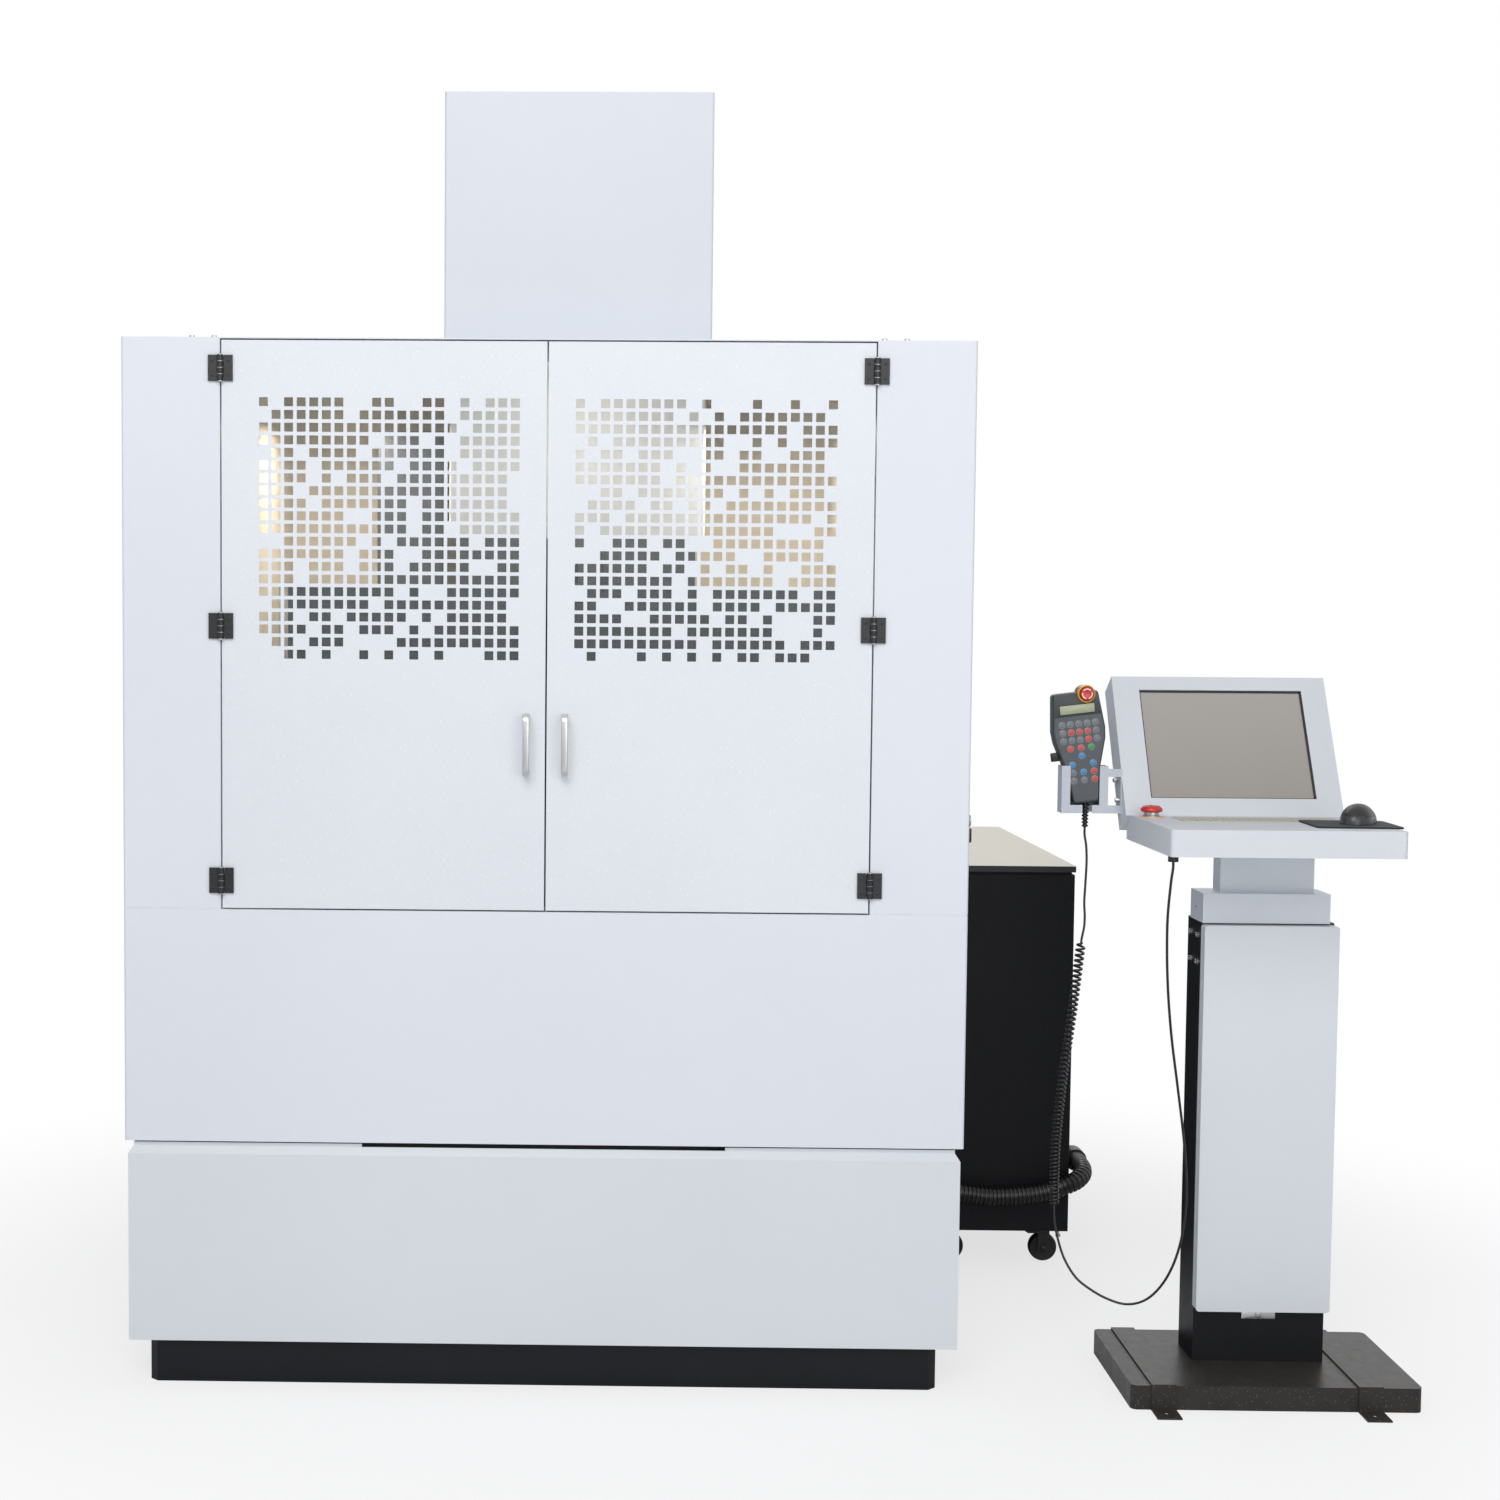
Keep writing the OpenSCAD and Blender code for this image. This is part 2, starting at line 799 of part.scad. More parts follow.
module lower_cover() {
    lap_x = plinth_w / 2 - flange_lap;
    lap_y = body_d / 2 - plinth_inset - flange_lap;
    color("#dce1e6") {
        difference() {
            skirt_solid(0, skirt_z, rim_z);
            skirt_solid(sheet_t, skirt_z - cut, rim_z + cut);
            block([-slot_w / 2, slot_w / 2], [front - cut, front + fold_w],
                [bevel_z + bevel_h, rim_z + cut]);
        }
        difference() {
            block([sheet_t - skirt_half, skirt_half - sheet_t], [front + sheet_t, back - sheet_t],
                [plinth_h, plinth_h + sheet_t]);
            block([-lap_x, lap_x], [-lap_y, lap_y], [plinth_h - cut, plinth_h + sheet_t + cut]);
        }
    }
}

module middle_cover() {
    in_x = half_w - sheet_t;
    color("#e2e6ec") {
        sheet_part([-half_w, half_w], [front, back - bend_r], [middle_z, seam_z]);
        block([-in_x, in_x], [front + sheet_t, front + sill_d], [seam_z - sheet_t, seam_z]);
        block([-in_x, in_x], [front + sheet_t, front + fold_w], [middle_z, middle_z + sheet_t]);
    }
}

module side_panel() {
    color("#e4e9f2") {
        difference() {
            sheet_part([door_half, half_w], [front, back - bend_r], [seam_z, panel_top]);
            translate([0, 0, seam_z - cut]) linear_extrude(seam_line + cut) difference() {
                round_rect([-half_w - cut, half_w + cut], [front - cut, back + cut], bend_r);
                round_rect([seam_depth - half_w, half_w - seam_depth],
                    [front + seam_depth, back - seam_depth], bend_r - seam_depth);
            }
        }
        block([door_half, door_half + sheet_t], [front + sheet_t, front + fold_w], [seam_z, panel_top]);
    }
}

module left_side_panel() {
    mirror([1, 0, 0]) side_panel();
}

module right_side_panel() {
    side_panel();
}

module rear_panel() {
    color("#e4e9f2")
        sheet_part([-half_w, half_w], [back - bend_r, back], [middle_z, panel_top]);
}

module roof_panel() {
    hole_x = cover_w / 2 - cover_lap;
    hole_y = front + cover_back + cover_lap;
    color("#e4e9f2") {
        difference() {
            round_block([-half_w, half_w], [front, back], [panel_top, body_h], bend_r);
            block([column_x - hole_x, column_x + hole_x], [hole_y, hole_y + cover_d - 2 * cover_lap],
                [panel_top - cut, body_h + cut]);
        }
        block([-door_half, door_half], [front + header_back, front + header_back + sheet_t],
            [panel_top - header_h, panel_top]);
    }
}

module column_cover() {
    x = [column_x - cover_w / 2, column_x + cover_w / 2];
    y = [front + cover_back, front + cover_back + cover_d];
    color("#e4e9f2") difference() {
        round_block(x, y, [body_h, body_h + cover_h], bend_r);
        round_block([x[0] + sheet_t, x[1] - sheet_t], [y[0] + sheet_t, y[1] - sheet_t],
            [body_h - cut, body_h + cover_h - sheet_t], bend_in);
    }
}

module chamber_liner() {
    wall_x = door_half + sheet_t;
    rear_y = front + chamber_back;
    gap_x = column_w / 2 + tension_gap;
    ends = [-guard_left, guard_right];
    color("#c9b48c") {
        for (s = [-1, 1]) {
            slot = column_x + s * gap_x;
            block([min(s * wall_x, s * (wall_x + sheet_t)), max(s * wall_x, s * (wall_x + sheet_t))],
                [front + sheet_t, rear_y + sheet_t], [seam_z, panel_top]);
            block([min(slot, s * wall_x), max(slot, s * wall_x)], [rear_y, rear_y + sheet_t],
                [seam_z, panel_top]);
        }
        for (i = [0, 1]) {
            s = 2 * i - 1;
            far = ends[i] + s * (guard_gap + channel_wall);
            near = ends[i] - s * channel_grip;
            inner = ends[i] + s * guard_gap;
            difference() {
                block([min(far, near), max(far, near)],
                    [front + guard_back - channel_wall - guard_gap,
                        front + guard_back + guard_t + guard_gap + channel_wall],
                    [seam_z, guard_top]);
                block([min(near - s * cut, inner), max(near - s * cut, inner)],
                    [front + guard_back - guard_gap, front + guard_back + guard_t + guard_gap],
                    [seam_z - cut, guard_top + cut]);
            }
        }
    }
}

module splash_guard() {
    color("#23262a")
        block([-guard_left, guard_right], [front + guard_back, front + guard_back + guard_t],
            [seam_z + rest_gap, guard_top]);
}

// Whether a square stays closed, from a fixed scatter that differs by seed
function scatter(i, j, seed) =
    let (h = sin(i * scatter_i + j * scatter_j + seed * scatter_seed) * scatter_gain) h - floor(h);
function edge_square(i, j) = i == 0 || j == 0 || i == mosaic_n - 1 || j == mosaic_n - 1;
function closed_square(i, j, seed) =
    scatter(i, j, seed) < (edge_square(i, j) ? mosaic_edge_share : mosaic_closed_share);

module door(seed) {
    x = [seam_gap / 2, door_half - seam_gap];
    color("#e4e9f2") {
        upright(front, sheet_t) difference() {
            translate([x[0], door_bottom]) square([x[1] - x[0], door_top - door_bottom]);
            for (i = [0 : mosaic_n - 1], j = [0 : mosaic_n - 1])
                if (!closed_square(i, j, seed))
                    translate([mosaic_start + i * mosaic_pitch, mosaic_z + j * mosaic_pitch])
                        square(mosaic_hole);
        }
        difference() {
            block(x, [front + sheet_t, front + door_fold], [door_bottom, door_top]);
            block([x[0] + sheet_t, x[1] - sheet_t], [front, front + door_fold + cut],
                [door_bottom + sheet_t, door_top - sheet_t]);
        }
    }
}

module left_door() {
    mirror([1, 0, 0]) door(left_seed);
}

module right_door() {
    door(right_seed);
}

module window() {
    color("#dfe8ea", 0.35)
        block([mosaic_start - pane_lap, mosaic_start + mosaic_span + pane_lap],
            [front + sheet_t, front + sheet_t + pane_t],
            [mosaic_z - pane_lap, mosaic_z + mosaic_span + pane_lap]);
}

module left_window() {
    mirror([1, 0, 0]) window();
}

module right_window() {
    window();
}

// One hinge leaf on the side that s points to; knuckles are their indexes from the bottom
module hinge_leaf(z, s, knuckles, bore) {
    near = knuckle_r + leaf_gap;
    far = hinge_w / 2;
    low = z - hinge_h / 2;
    leaf_y = [front - leaf_t, front];
    difference() {
        union() {
            block([hinge_x + min(s * near, s * far), hinge_x + max(s * near, s * far)], leaf_y,
                [low, low + hinge_h]);
            for (k = knuckles) {
                z0 = low + k * knuckle_h + (k == 0 ? 0 : hinge_lift / 2);
                z1 = low + (k + 1) * knuckle_h - (k == 2 ? 0 : hinge_lift / 2);
                cyl_z(hinge_x, hinge_y, z0, knuckle_r, z1 - z0);
                block([hinge_x + min(0, s * near), hinge_x + max(0, s * near)],
                    [front - leaf_t, front - hinge_lift], [z0, z1]);
            }
        }
        cyl_z(hinge_x, hinge_y, low - cut, bore, hinge_h + 2 * cut);
    }
}

module door_hinges() {
    color("#1c1d20") for (z = hinge_zs) hinge_leaf(z, -1, [1], hinge_pin_r + pin_gap);
}

module left_door_hinges() {
    mirror([1, 0, 0]) door_hinges();
}

module right_door_hinges() {
    door_hinges();
}

module frame_hinges() {
    color("#1c1d20") for (m = [0, 1], z = hinge_zs) mirror([m, 0, 0]) {
        hinge_leaf(z, 1, [0, 2], hinge_pin_r);
        cyl_z(hinge_x, hinge_y, z - hinge_h / 2, hinge_pin_r, hinge_h);
    }
}

module handle() {
    low = handle_z - handle_h / 2;
    color("#c8c9c6") along_x(handle_x - handle_w / 2, handle_w) intersection() {
        difference() {
            round_rect([front - handle_reach, front + grip_r], [low, low + handle_h], grip_r);
            round_rect([front - handle_reach + grip_t, front + grip_r],
                [low + handle_w, low + handle_h - handle_w], grip_r - grip_t);
        }
        translate([front - handle_reach, low]) square([handle_reach, handle_h]);
    }
}

module left_handle() {
    mirror([1, 0, 0]) handle();
}

module right_handle() {
    handle();
}

module column() {
    x = [column_x - column_w / 2, column_x + column_w / 2];
    w = casting_wall;
    color("#3f4347") {
        difference() {
            block(x, [column_face, column_face + column_d], [bed_top, column_h]);
            block([x[0] + w, x[1] - w], [column_face + w, column_face + column_d - w],
                [bed_top - cut, column_h - w]);
        }
        for (s = [-1, 1])
            block([column_x + s * z_rail_x - z_rail_w / 2, column_x + s * z_rail_x + z_rail_w / 2],
                [column_face - z_rail_d, column_face], [z_rail_low, column_h - z_rail_drop]);
    }
}

module head() {
    color("#cfd2d4")
        round_block([column_x - head_w / 2, column_x + head_w / 2], [head_front_y, head_back_y],
            [head_z, head_z + head_h], bend_r);
}

// Slot and pin for a pulley whose middle is at height z
module pulley_slot(z) {
    half = pulley_w / 2 + pulley_gap;
    r = pulley_r + pulley_gap;
    block([column_x - half, column_x + half], [wire_y - nose_reach - cut, pulley_y + r], [z - r, z + r]);
}

module pulley_pin(z) {
    half = pulley_w / 2 + pulley_gap;
    cyl_x(column_x - half, pulley_y, z, pulley_pin_r, 2 * half);
}

// Nozzle with its base at height z, pointing up or down as s says
module nozzle(z, s) {
    translate([column_x, wire_y, z]) mirror([0, 0, s < 0 ? 1 : 0])
        cylinder(r1 = nozzle_r, r2 = nozzle_tip_r, h = nozzle_h);
}

module upper_arm() {
    x = [column_x - arm_w / 2, column_x + arm_w / 2];
    wide = head_w / 2 - arm_block_inset;
    color("#33363a") {
        difference() {
            union() {
                block([column_x - wide, column_x + wide], [head_back_y - arm_block_d, head_back_y],
                    [upper_arm_z, head_z]);
                block(x, [wire_y - nose_reach, head_back_y], [upper_arm_z, upper_arm_z + upper_arm_h]);
                nozzle(upper_arm_z, -1);
            }
            pulley_slot(upper_pulley_z);
            cyl_z(column_x, wire_y, upper_arm_z - nozzle_h - cut, nozzle_bore_r, nozzle_h + pulley_r);
        }
        pulley_pin(upper_pulley_z);
    }
}

module lower_arm() {
    x = [column_x - arm_w / 2, column_x + arm_w / 2];
    top = lower_arm_z + lower_arm_h;
    color("#33363a") {
        difference() {
            union() {
                block(x, [wire_y - nose_reach, column_face], [lower_arm_z, top]);
                nozzle(top, 1);
            }
            pulley_slot(lower_pulley_z);
            cyl_z(column_x, wire_y, lower_pulley_z, nozzle_bore_r, top + nozzle_h + cut - lower_pulley_z);
        }
        pulley_pin(lower_pulley_z);
    }
}

// Guide pulley with a groove that the wire lies in
module pulley(z) {
    half = pulley_w / 2;
    floor_r = pulley_path_r - wire_d / 2 - wire_gap;
    color("#b9bcc0") translate([column_x, pulley_y, z]) rotate([0, 90, 0]) rotate_extrude() polygon([
        [pulley_pin_r + pin_gap, -half], [pulley_r, -half], [floor_r, 0],
        [pulley_r, half], [pulley_pin_r + pin_gap, half],
    ]);
}

module upper_pulley() {
    pulley(upper_pulley_z);
}

module lower_pulley() {
    pulley(lower_pulley_z);
}

module wire() {
    color("#d8b24a") cyl_z(column_x, wire_y, lower_pulley_z, wire_d / 2, upper_pulley_z - lower_pulley_z);
}

module tension_housing() {
    x = [tension_right - tension_w, tension_right];
    color("#2b2e32") {
        round_block(x, [column_face, column_face + tension_d], [tension_z, tension_z + tension_h], bend_r);
        for (b = tension_bracket_zs)
            block([tension_right, column_x - column_w / 2],
                [column_face + tension_d / 2, column_face + tension_d / 2 + tension_bracket],
                [tension_z + b, tension_z + b + tension_bracket]);
    }
}

module saddle() {
    y = [table_y + saddle_in, table_y + saddle_in + saddle_d];
    top = saddle_z + saddle_t;
    near = rail_w / 2 + slide_gap;
    color("#5b6066") {
        block([column_x - saddle_half, column_x + saddle_half], y, [saddle_z, top]);
        for (r = [-1, 1], s = [-1, 1]) {
            x = column_x + r * bed_rail_x;
            block([x + min(s * near, s * (near + lip_w)), x + max(s * near, s * (near + lip_w))], y,
                [saddle_z - rail_h / 2, saddle_z]);
        }
        for (r = [-1, 1]) {
            rail = saddle_mid_y + r * saddle_rail_y;
            block([column_x - saddle_half, column_x + saddle_half],
                [rail - rail_w / 2, rail + rail_w / 2], [top, top + rail_h]);
        }
    }
}

module worktable() {
    x = [column_x - table_half, column_x + table_half];
    y = [table_y, table_y + table_d];
    base_top = table_z + table_base_t;
    frame_z = table_top - table_t;
    near = rail_w / 2 + slide_gap;
    pan_in = table_post + pan_inset;
    color("#84898d") {
        block(x, y, [table_z, base_top]);
        for (r = [-1, 1], s = [-1, 1]) {
            rail = saddle_mid_y + r * saddle_rail_y;
            block([column_x - table_shoe_l / 2, column_x + table_shoe_l / 2],
                [rail + min(s * near, s * (near + lip_w)), rail + max(s * near, s * (near + lip_w))],
                [table_z - rail_h / 2, table_z]);
        }
        for (i = [0, 1], j = [0, 1])
            block([x[i] - i * table_post, x[i] + (1 - i) * table_post],
                [y[j] - j * table_post, y[j] + (1 - j) * table_post], [base_top, frame_z]);
        difference() {
            block([x[0] + pan_in, x[1] - pan_in], [y[0] + pan_in, y[1] - pan_in],
                [base_top, base_top + pan_h]);
            block([x[0] + pan_in + sheet_t, x[1] - pan_in - sheet_t],
                [y[0] + pan_in + sheet_t, y[1] - pan_in - sheet_t],
                [base_top - cut, base_top + pan_h + cut]);
        }
        difference() {
            block(x, y, [frame_z, table_top]);
            block([x[0] + table_bar, x[1] - table_bar], [y[0] + table_bar, y[1] + cut],
                [frame_z - cut, table_top + cut]);
            for (i = [-1, 1], j = [-1, 1])
                cyl_z(column_x + i * table_hole_x, table_y + table_d / 2 + j * table_hole_y, frame_z - cut,
                    table_hole_r, table_t + 2 * cut);
        }
    }
}

module drum_carriage() {
    near = drum_l / 2 + upright_gap;
    out = near + upright_t;
    motor_x = column_x + out;
    reach = rail_w / 2 + drum_rail_y;
    color("#6b7075") difference() {
        union() {
            block([column_x - out - carriage_over, motor_x + motor_l], [drum_y - reach, drum_y + reach],
                [carriage_z, carriage_z + carriage_t]);
            for (r = [-1, 1], s = [-1, 1]) {
                rail = drum_y + r * drum_rail_y;
                edge = rail_w / 2 + slide_gap;
                block([column_x - out, column_x + out],
                    [rail + min(s * edge, s * (edge + lip_w)), rail + max(s * edge, s * (edge + lip_w))],
                    [carriage_z - rail_h / 2, carriage_z]);
            }
            for (s = [-1, 1])
                block([column_x + min(s * near, s * out), column_x + max(s * near, s * out)],
                    [drum_y - upright_w / 2, drum_y + upright_w / 2],
                    [carriage_z + carriage_t, drum_z + upright_over]);
            cyl_x(motor_x, drum_y, drum_z, motor_r, motor_l);
        }
        cyl_x(column_x - out - cut, drum_y, drum_z, shaft_r + pin_gap, cut + 2 * out + motor_bore_l);
    }
}

module wire_drum() {
    out = drum_l / 2 + upright_gap + upright_t;
    color("#a9adb2") {
        cyl_x(column_x - drum_l / 2, drum_y, drum_z, drum_r, drum_l);
        cyl_x(column_x - out, drum_y, drum_z, shaft_r, 2 * out + motor_shaft_l);
        cyl_x(column_x - drum_l / 2 + winding_margin, drum_y, drum_z, drum_r + winding_t,
            drum_l - 2 * winding_margin);
    }
}

module cabinet_body() {
    top = cabinet_h - lid_t - lid_gap;
    n = neck_inset;
    w = cabinet_wall;
    color("#17181b") difference() {
        union() {
            round_block(cabinet_x, cabinet_y, [cabinet_lift, top], bend_in);
            block([cabinet_x[0] + n, cabinet_x[1] - n], [cabinet_y[0] + n, cabinet_y[1] - n],
                [top, top + lid_gap]);
        }
        block([cabinet_x[0] + w, cabinet_x[1] - w], [cabinet_y[0] + w, cabinet_y[1] - w],
            [cabinet_lift + w, top - w]);
    }
}

module cabinet_lid() {
    o = lid_over;
    color("#cfcdc3")
        round_block([cabinet_x[0] - o, cabinet_x[1] + o], [cabinet_y[0] - o, cabinet_y[1] + o],
            [cabinet_h - lid_t, cabinet_h], bend_in);
}

// Fork of a caster at its swivel axis, with the wheel behind it by the trail
module fork_shape(trail) {
    leg = wheel_w / 2 + fork_gap;
    crown_z = 2 * wheel_r + fork_gap;
    color("#1b1c1f") {
        block([-fork_leg_w / 2, trail + fork_leg_w / 2], [-leg - fork_t, leg + fork_t],
            [crown_z, crown_z + fork_crown_t]);
        for (s = [-1, 1])
            block([trail - fork_leg_w / 2, trail + fork_leg_w / 2],
                [min(s * leg, s * (leg + fork_t)), max(s * leg, s * (leg + fork_t))],
                [wheel_r - 2 * axle_r, crown_z]);
        cyl_y(trail, -leg, wheel_r, axle_r, 2 * leg);
    }
}

module swivel_fork() {
    crown_z = 2 * wheel_r + fork_gap;
    difference() {
        union() {
            fork_shape(caster_trail);
            color("#1b1c1f") cyl_z(0, 0, crown_z, 2 * kingpin_r, caster_plate_z - rest_gap - crown_z);
        }
        cyl_z(0, 0, crown_z - cut, kingpin_r + pin_gap, cabinet_lift);
    }
}

module wheel_shape() {
    color("#101113") difference() {
        cyl_y(0, -wheel_w / 2, wheel_r, wheel_r, wheel_w);
        cyl_y(0, -wheel_w / 2 - cut, wheel_r, axle_r + pin_gap, wheel_w + 2 * cut);
    }
}

module caster_mounts() {
    p = caster_plate / 2;
    color("#1b1c1f") {
        for (x = caster_xs, y = caster_ys)
            block([x - p, x + p], [y - p, y + p], [caster_plate_z, cabinet_lift]);
        for (x = caster_xs)
            cyl_z(x, caster_ys[0], caster_plate_z - kingpin_l, kingpin_r, kingpin_l);
        for (x = caster_xs) translate([x, caster_ys[1], 0]) rotate(90) {
            fork_shape(0);
            block([-fork_leg_w / 2, fork_leg_w / 2], [-wheel_w / 2, wheel_w / 2],
                [2 * wheel_r + fork_gap, caster_plate_z]);
        }
    }
}

module left_caster_fork() {
    translate([caster_xs[0], caster_ys[0], 0]) swivel_fork();
}

module right_caster_fork() {
    translate([caster_xs[1], caster_ys[0], 0]) swivel_fork();
}

module front_left_wheel() {
    translate([caster_xs[0] + caster_trail, caster_ys[0], 0]) wheel_shape();
}

module front_right_wheel() {
    translate([caster_xs[1] + caster_trail, caster_ys[0], 0]) wheel_shape();
}

module rear_left_wheel() {
    translate([caster_xs[0], caster_ys[1], 0]) rotate(90) wheel_shape();
}

module rear_right_wheel() {
    translate([caster_xs[1], caster_ys[1], 0]) rotate(90) wheel_shape();
}

// Vectors and routes
function unit(v) = v / norm(v);

// Point at parameter t on a smooth curve through the points p
function on_curve(p, t) =
    let (
        i = min(floor(t), len(p) - 2), u = t - i,
        a = p[max(i - 1, 0)], b = p[i], c = p[i + 1], d = p[min(i + 2, len(p) - 1)]
    )
    0.5 * (2 * b + (c - a) * u + (2 * a - 5 * b + 4 * c - d) * u * u + (3 * b - 3 * c + d - a) * u * u * u);

// Points along such a curve, n in each stretch
function curve(p, n) = [for (i = [0 : n * (len(p) - 1)]) on_curve(p, i / n)];

function directions(p, start, end) = [
    for (i = [0 : len(p) - 1])
        i == 0 ? start : i == len(p) - 1 ? end : unit(p[i + 1] - p[i - 1])
];

// Ring of n points round p, square to direction d
function ring(p, d, side, r, n) =
    let (u = unit(side - (side * d) * d), v = cross(d, u))
    [for (k = [0 : n - 1]) p + r * (cos(360 * k / n) * u + sin(360 * k / n) * v)];

// Tube through rings of n points each
module skin(rings, n) {
    m = len(rings);
    polyhedron(
        points = [for (r = rings) each r],
        faces = [
            for (i = [0 : m - 2], k = [0 : n - 1])
                let (a = i * n + k, b = i * n + (k + 1) % n) each [[a, a + n, b], [b, a + n, b + n]],
            for (k = [1 : n - 2]) [0, k, k + 1],
            for (k = [1 : n - 2]) [(m - 1) * n, (m - 1) * n + k + 1, (m - 1) * n + k],
        ]
    );
}

// Length along a path up to each of its points
function lengths(p) = [
    for (i = 0, s = 0; i < len(p); s = s + (i + 1 < len(p) ? norm(p[i + 1] - p[i]) : 0), i = i + 1) s
];
function at_length(p, c, s) =
    let (i = max([for (k = [0 : len(p) - 2]) if (c[k] <= s) k]))
    p[i] + (p[i + 1] - p[i]) * (s - c[i]) / (c[i + 1] - c[i]);

// Points at even steps along a path
function even(p, step) =
    let (c = lengths(p), l = c[len(c) - 1], n = round(l / step))
    [for (k = [0 : n]) at_length(p, c, k * l / n)];

// Round cord along a route, square to the given directions at its ends
module cord_along(route, start, end) {
    p = even(curve(route, cord_smooth), cord_step);
    d = directions(p, start, end);
    color("#141416") skin([for (i = [0 : len(p) - 1]) ring(p[i], d[i], cord_ref, cord_d / 2, cord_sides)],
        cord_sides);
}

module cord_top() {
    cord_along(cord_top_route, [0, 0, -1], [0, 0, -1]);
}

module cord_tail() {
    cord_along(cord_tail_route, [0, 0, -1], [0, 0, 1]);
}

// Points of the curls, with straight ends on the curls' middle line
function curl_rise(q) = q + curl_ease_share * q * (1 - q);
function curl_reach(q) =
    (curl_d - cord_d) / 2 * sin(90 * min(1, min(q, 1 - q) * curl_n / curl_ramp_share));
function curl_frame(p, c, s) =
    let (
        l = c[len(c) - 1], a = at_length(p, c, max(0, s - cord_d)), b = at_length(p, c, min(l, s + cord_d)),
        d = unit(b - a), u = unit([1, 0, 0] - d[0] * d)
    )
    [at_length(p, c, s), u, cross(d, u)];
function curl_point(p, c, q) =
    let (
        l = c[len(c) - 1], f = curl_frame(p, c, cord_d + (l - 2 * cord_d) * curl_rise(q)),
        t = 360 * curl_n * q
    )
    [f[0] + curl_reach(q) * (cos(t) * f[1] + sin(t) * f[2]), cos(t) * f[1] + sin(t) * f[2]];
function near_gap(p, i) = min([
    for (j = [i + curl_rings * 3 / 4 : min(i + curl_rings * 3 / 2, len(p) - 1)]) norm(p[j] - p[i]) - cord_d
]);

module cord_curls() {
    axis = curve(curl_route, cord_smooth);
    c = lengths(axis);
    n = curl_n * curl_rings;
    turns = [for (i = [0 : n]) curl_point(axis, c, i / n)];
    p = concat([axis[0]], [for (t = turns) t[0]], [axis[len(axis) - 1]]);
    side = concat([turns[0][1]], [for (t = turns) t[1]], [turns[n][1]]);
    d = directions(p, [0, 0, -1], [0, 0, -1]);
    echo(least_curl_gap = min([for (i = [0 : len(p) - curl_rings]) near_gap(p, i)]));
    color("#141416") skin([for (i = [0 : len(p) - 1]) ring(p[i], d[i], side[i], cord_d / 2, curl_sides)],
        curl_sides);
}

module conduit() {
    path = curve(conduit_route, cord_smooth);
    ribs = even(path, conduit_pitch / 2);
    n = len(ribs) - 1;
    d = directions(ribs, [1, 0, 0], [0, 1, 0]);
    outer = [
        for (i = [0 : n])
            ring(ribs[i], d[i], [0, 0, 1], conduit_d / 2 - (i % 2 == 0 ? conduit_groove : 0), conduit_sides)
    ];
    bore = [
        for (i = [n : -1 : 0])
            if (i % conduit_bore_step == 0 || i == n)
                ring(ribs[i], d[i], [0, 0, 1], conduit_bore / 2, conduit_sides)
    ];
    rings = concat(outer, bore);
    m = len(rings);
    color("#17171a") polyhedron(
        points = [for (r = rings) each r],
        faces = [
            for (i = [0 : m - 1], k = [0 : conduit_sides - 1])
                let (
                    l = (k + 1) % conduit_sides, near = i * conduit_sides,
                    far = (i + 1) % m * conduit_sides
                )
                each [[near + k, far + k, near + l], [near + l, far + k, far + l]]
        ]
    );
}

module cable_glands() {
    first = conduit_route[0];
    last = conduit_route[len(conduit_route) - 1];
    bore_r = conduit_bore / 2;
    color("#202124") {
        difference() {
            cyl_x(first[0] - fitting_l, first[1], first[2], fitting_r, fitting_l);
            cyl_x(first[0] - fitting_l - cut, first[1], first[2], bore_r, fitting_l + 2 * cut);
        }
        difference() {
            union() {
                cyl_y(last[0], last[1], last[2], fitting_r, elbow_l);
                translate([last[0], last[1] + elbow_l, last[2]]) sphere(fitting_r);
                cyl_x(cabinet_right, last[1] + elbow_l, last[2], fitting_r, last[0] - cabinet_right);
            }
            cyl_y(last[0], last[1] - cut, last[2], bore_r, elbow_l);
            block([cabinet_right - fitting_r, cabinet_right],
                [last[1] - cut, last[1] + elbow_l + fitting_r + cut],
                [last[2] - fitting_r - cut, last[2] + fitting_r + cut]);
        }
        cyl_z(gland_end[0], gland_end[1], gland_end[2], gland_r, tray_z - gland_end[2]);
    }
}

module base_plate() {
    z = base_h + strap_t;
    color("#3a393a") {
        round_block([base_x - base_w / 2, base_x + base_w / 2], base_y, [0, base_h], base_r);
        for (s = [-1, 1]) {
            x = [strap_x + s * strap_span / 2 - strap_w / 2, strap_x + s * strap_span / 2 + strap_w / 2];
            y = [base_y[0] - strap_t, base_y[1] + strap_t];
            difference() {
                union() {
                    block(x, y, [base_h, z]);
                    block(x, [y[0] - tab_l, y[0] + strap_t], [0, strap_t]);
                    block(x, [y[1] - strap_t, y[1] + tab_l], [0, strap_t]);
                    block(x, [y[0], base_y[0]], [0, z]);
                    block(x, [base_y[1], y[1]], [0, z]);
                }
                for (e = [-1, 1])
                    cyl_z((x[0] + x[1]) / 2, (base_y[0] + base_y[1]) / 2 + e * anchor_span / 2, -cut,
                        anchor_r, strap_t + 2 * cut);
            }
        }
    }
}

module post() {
    x = [stand_x - post_w / 2, stand_x + post_w / 2];
    y = [post_front, post_front + post_d];
    w = post_wall;
    color("#26282d") difference() {
        block(x, y, [base_h, post_h]);
        block([x[0] + w, x[1] - w], [y[0] + w, y[1] - w], [base_h + w, post_h - w]);
    }
}

module post_cover() {
    x = [stand_x - post_cover_w / 2, stand_x + post_cover_w / 2];
    y = [post_front - post_cover_d, post_front];
    z = [post_cover_z, post_h - post_cover_drop];
    color("#dde2ea") upright(y[0], post_cover_d) round_rect(x, z, post_cover_r);
}

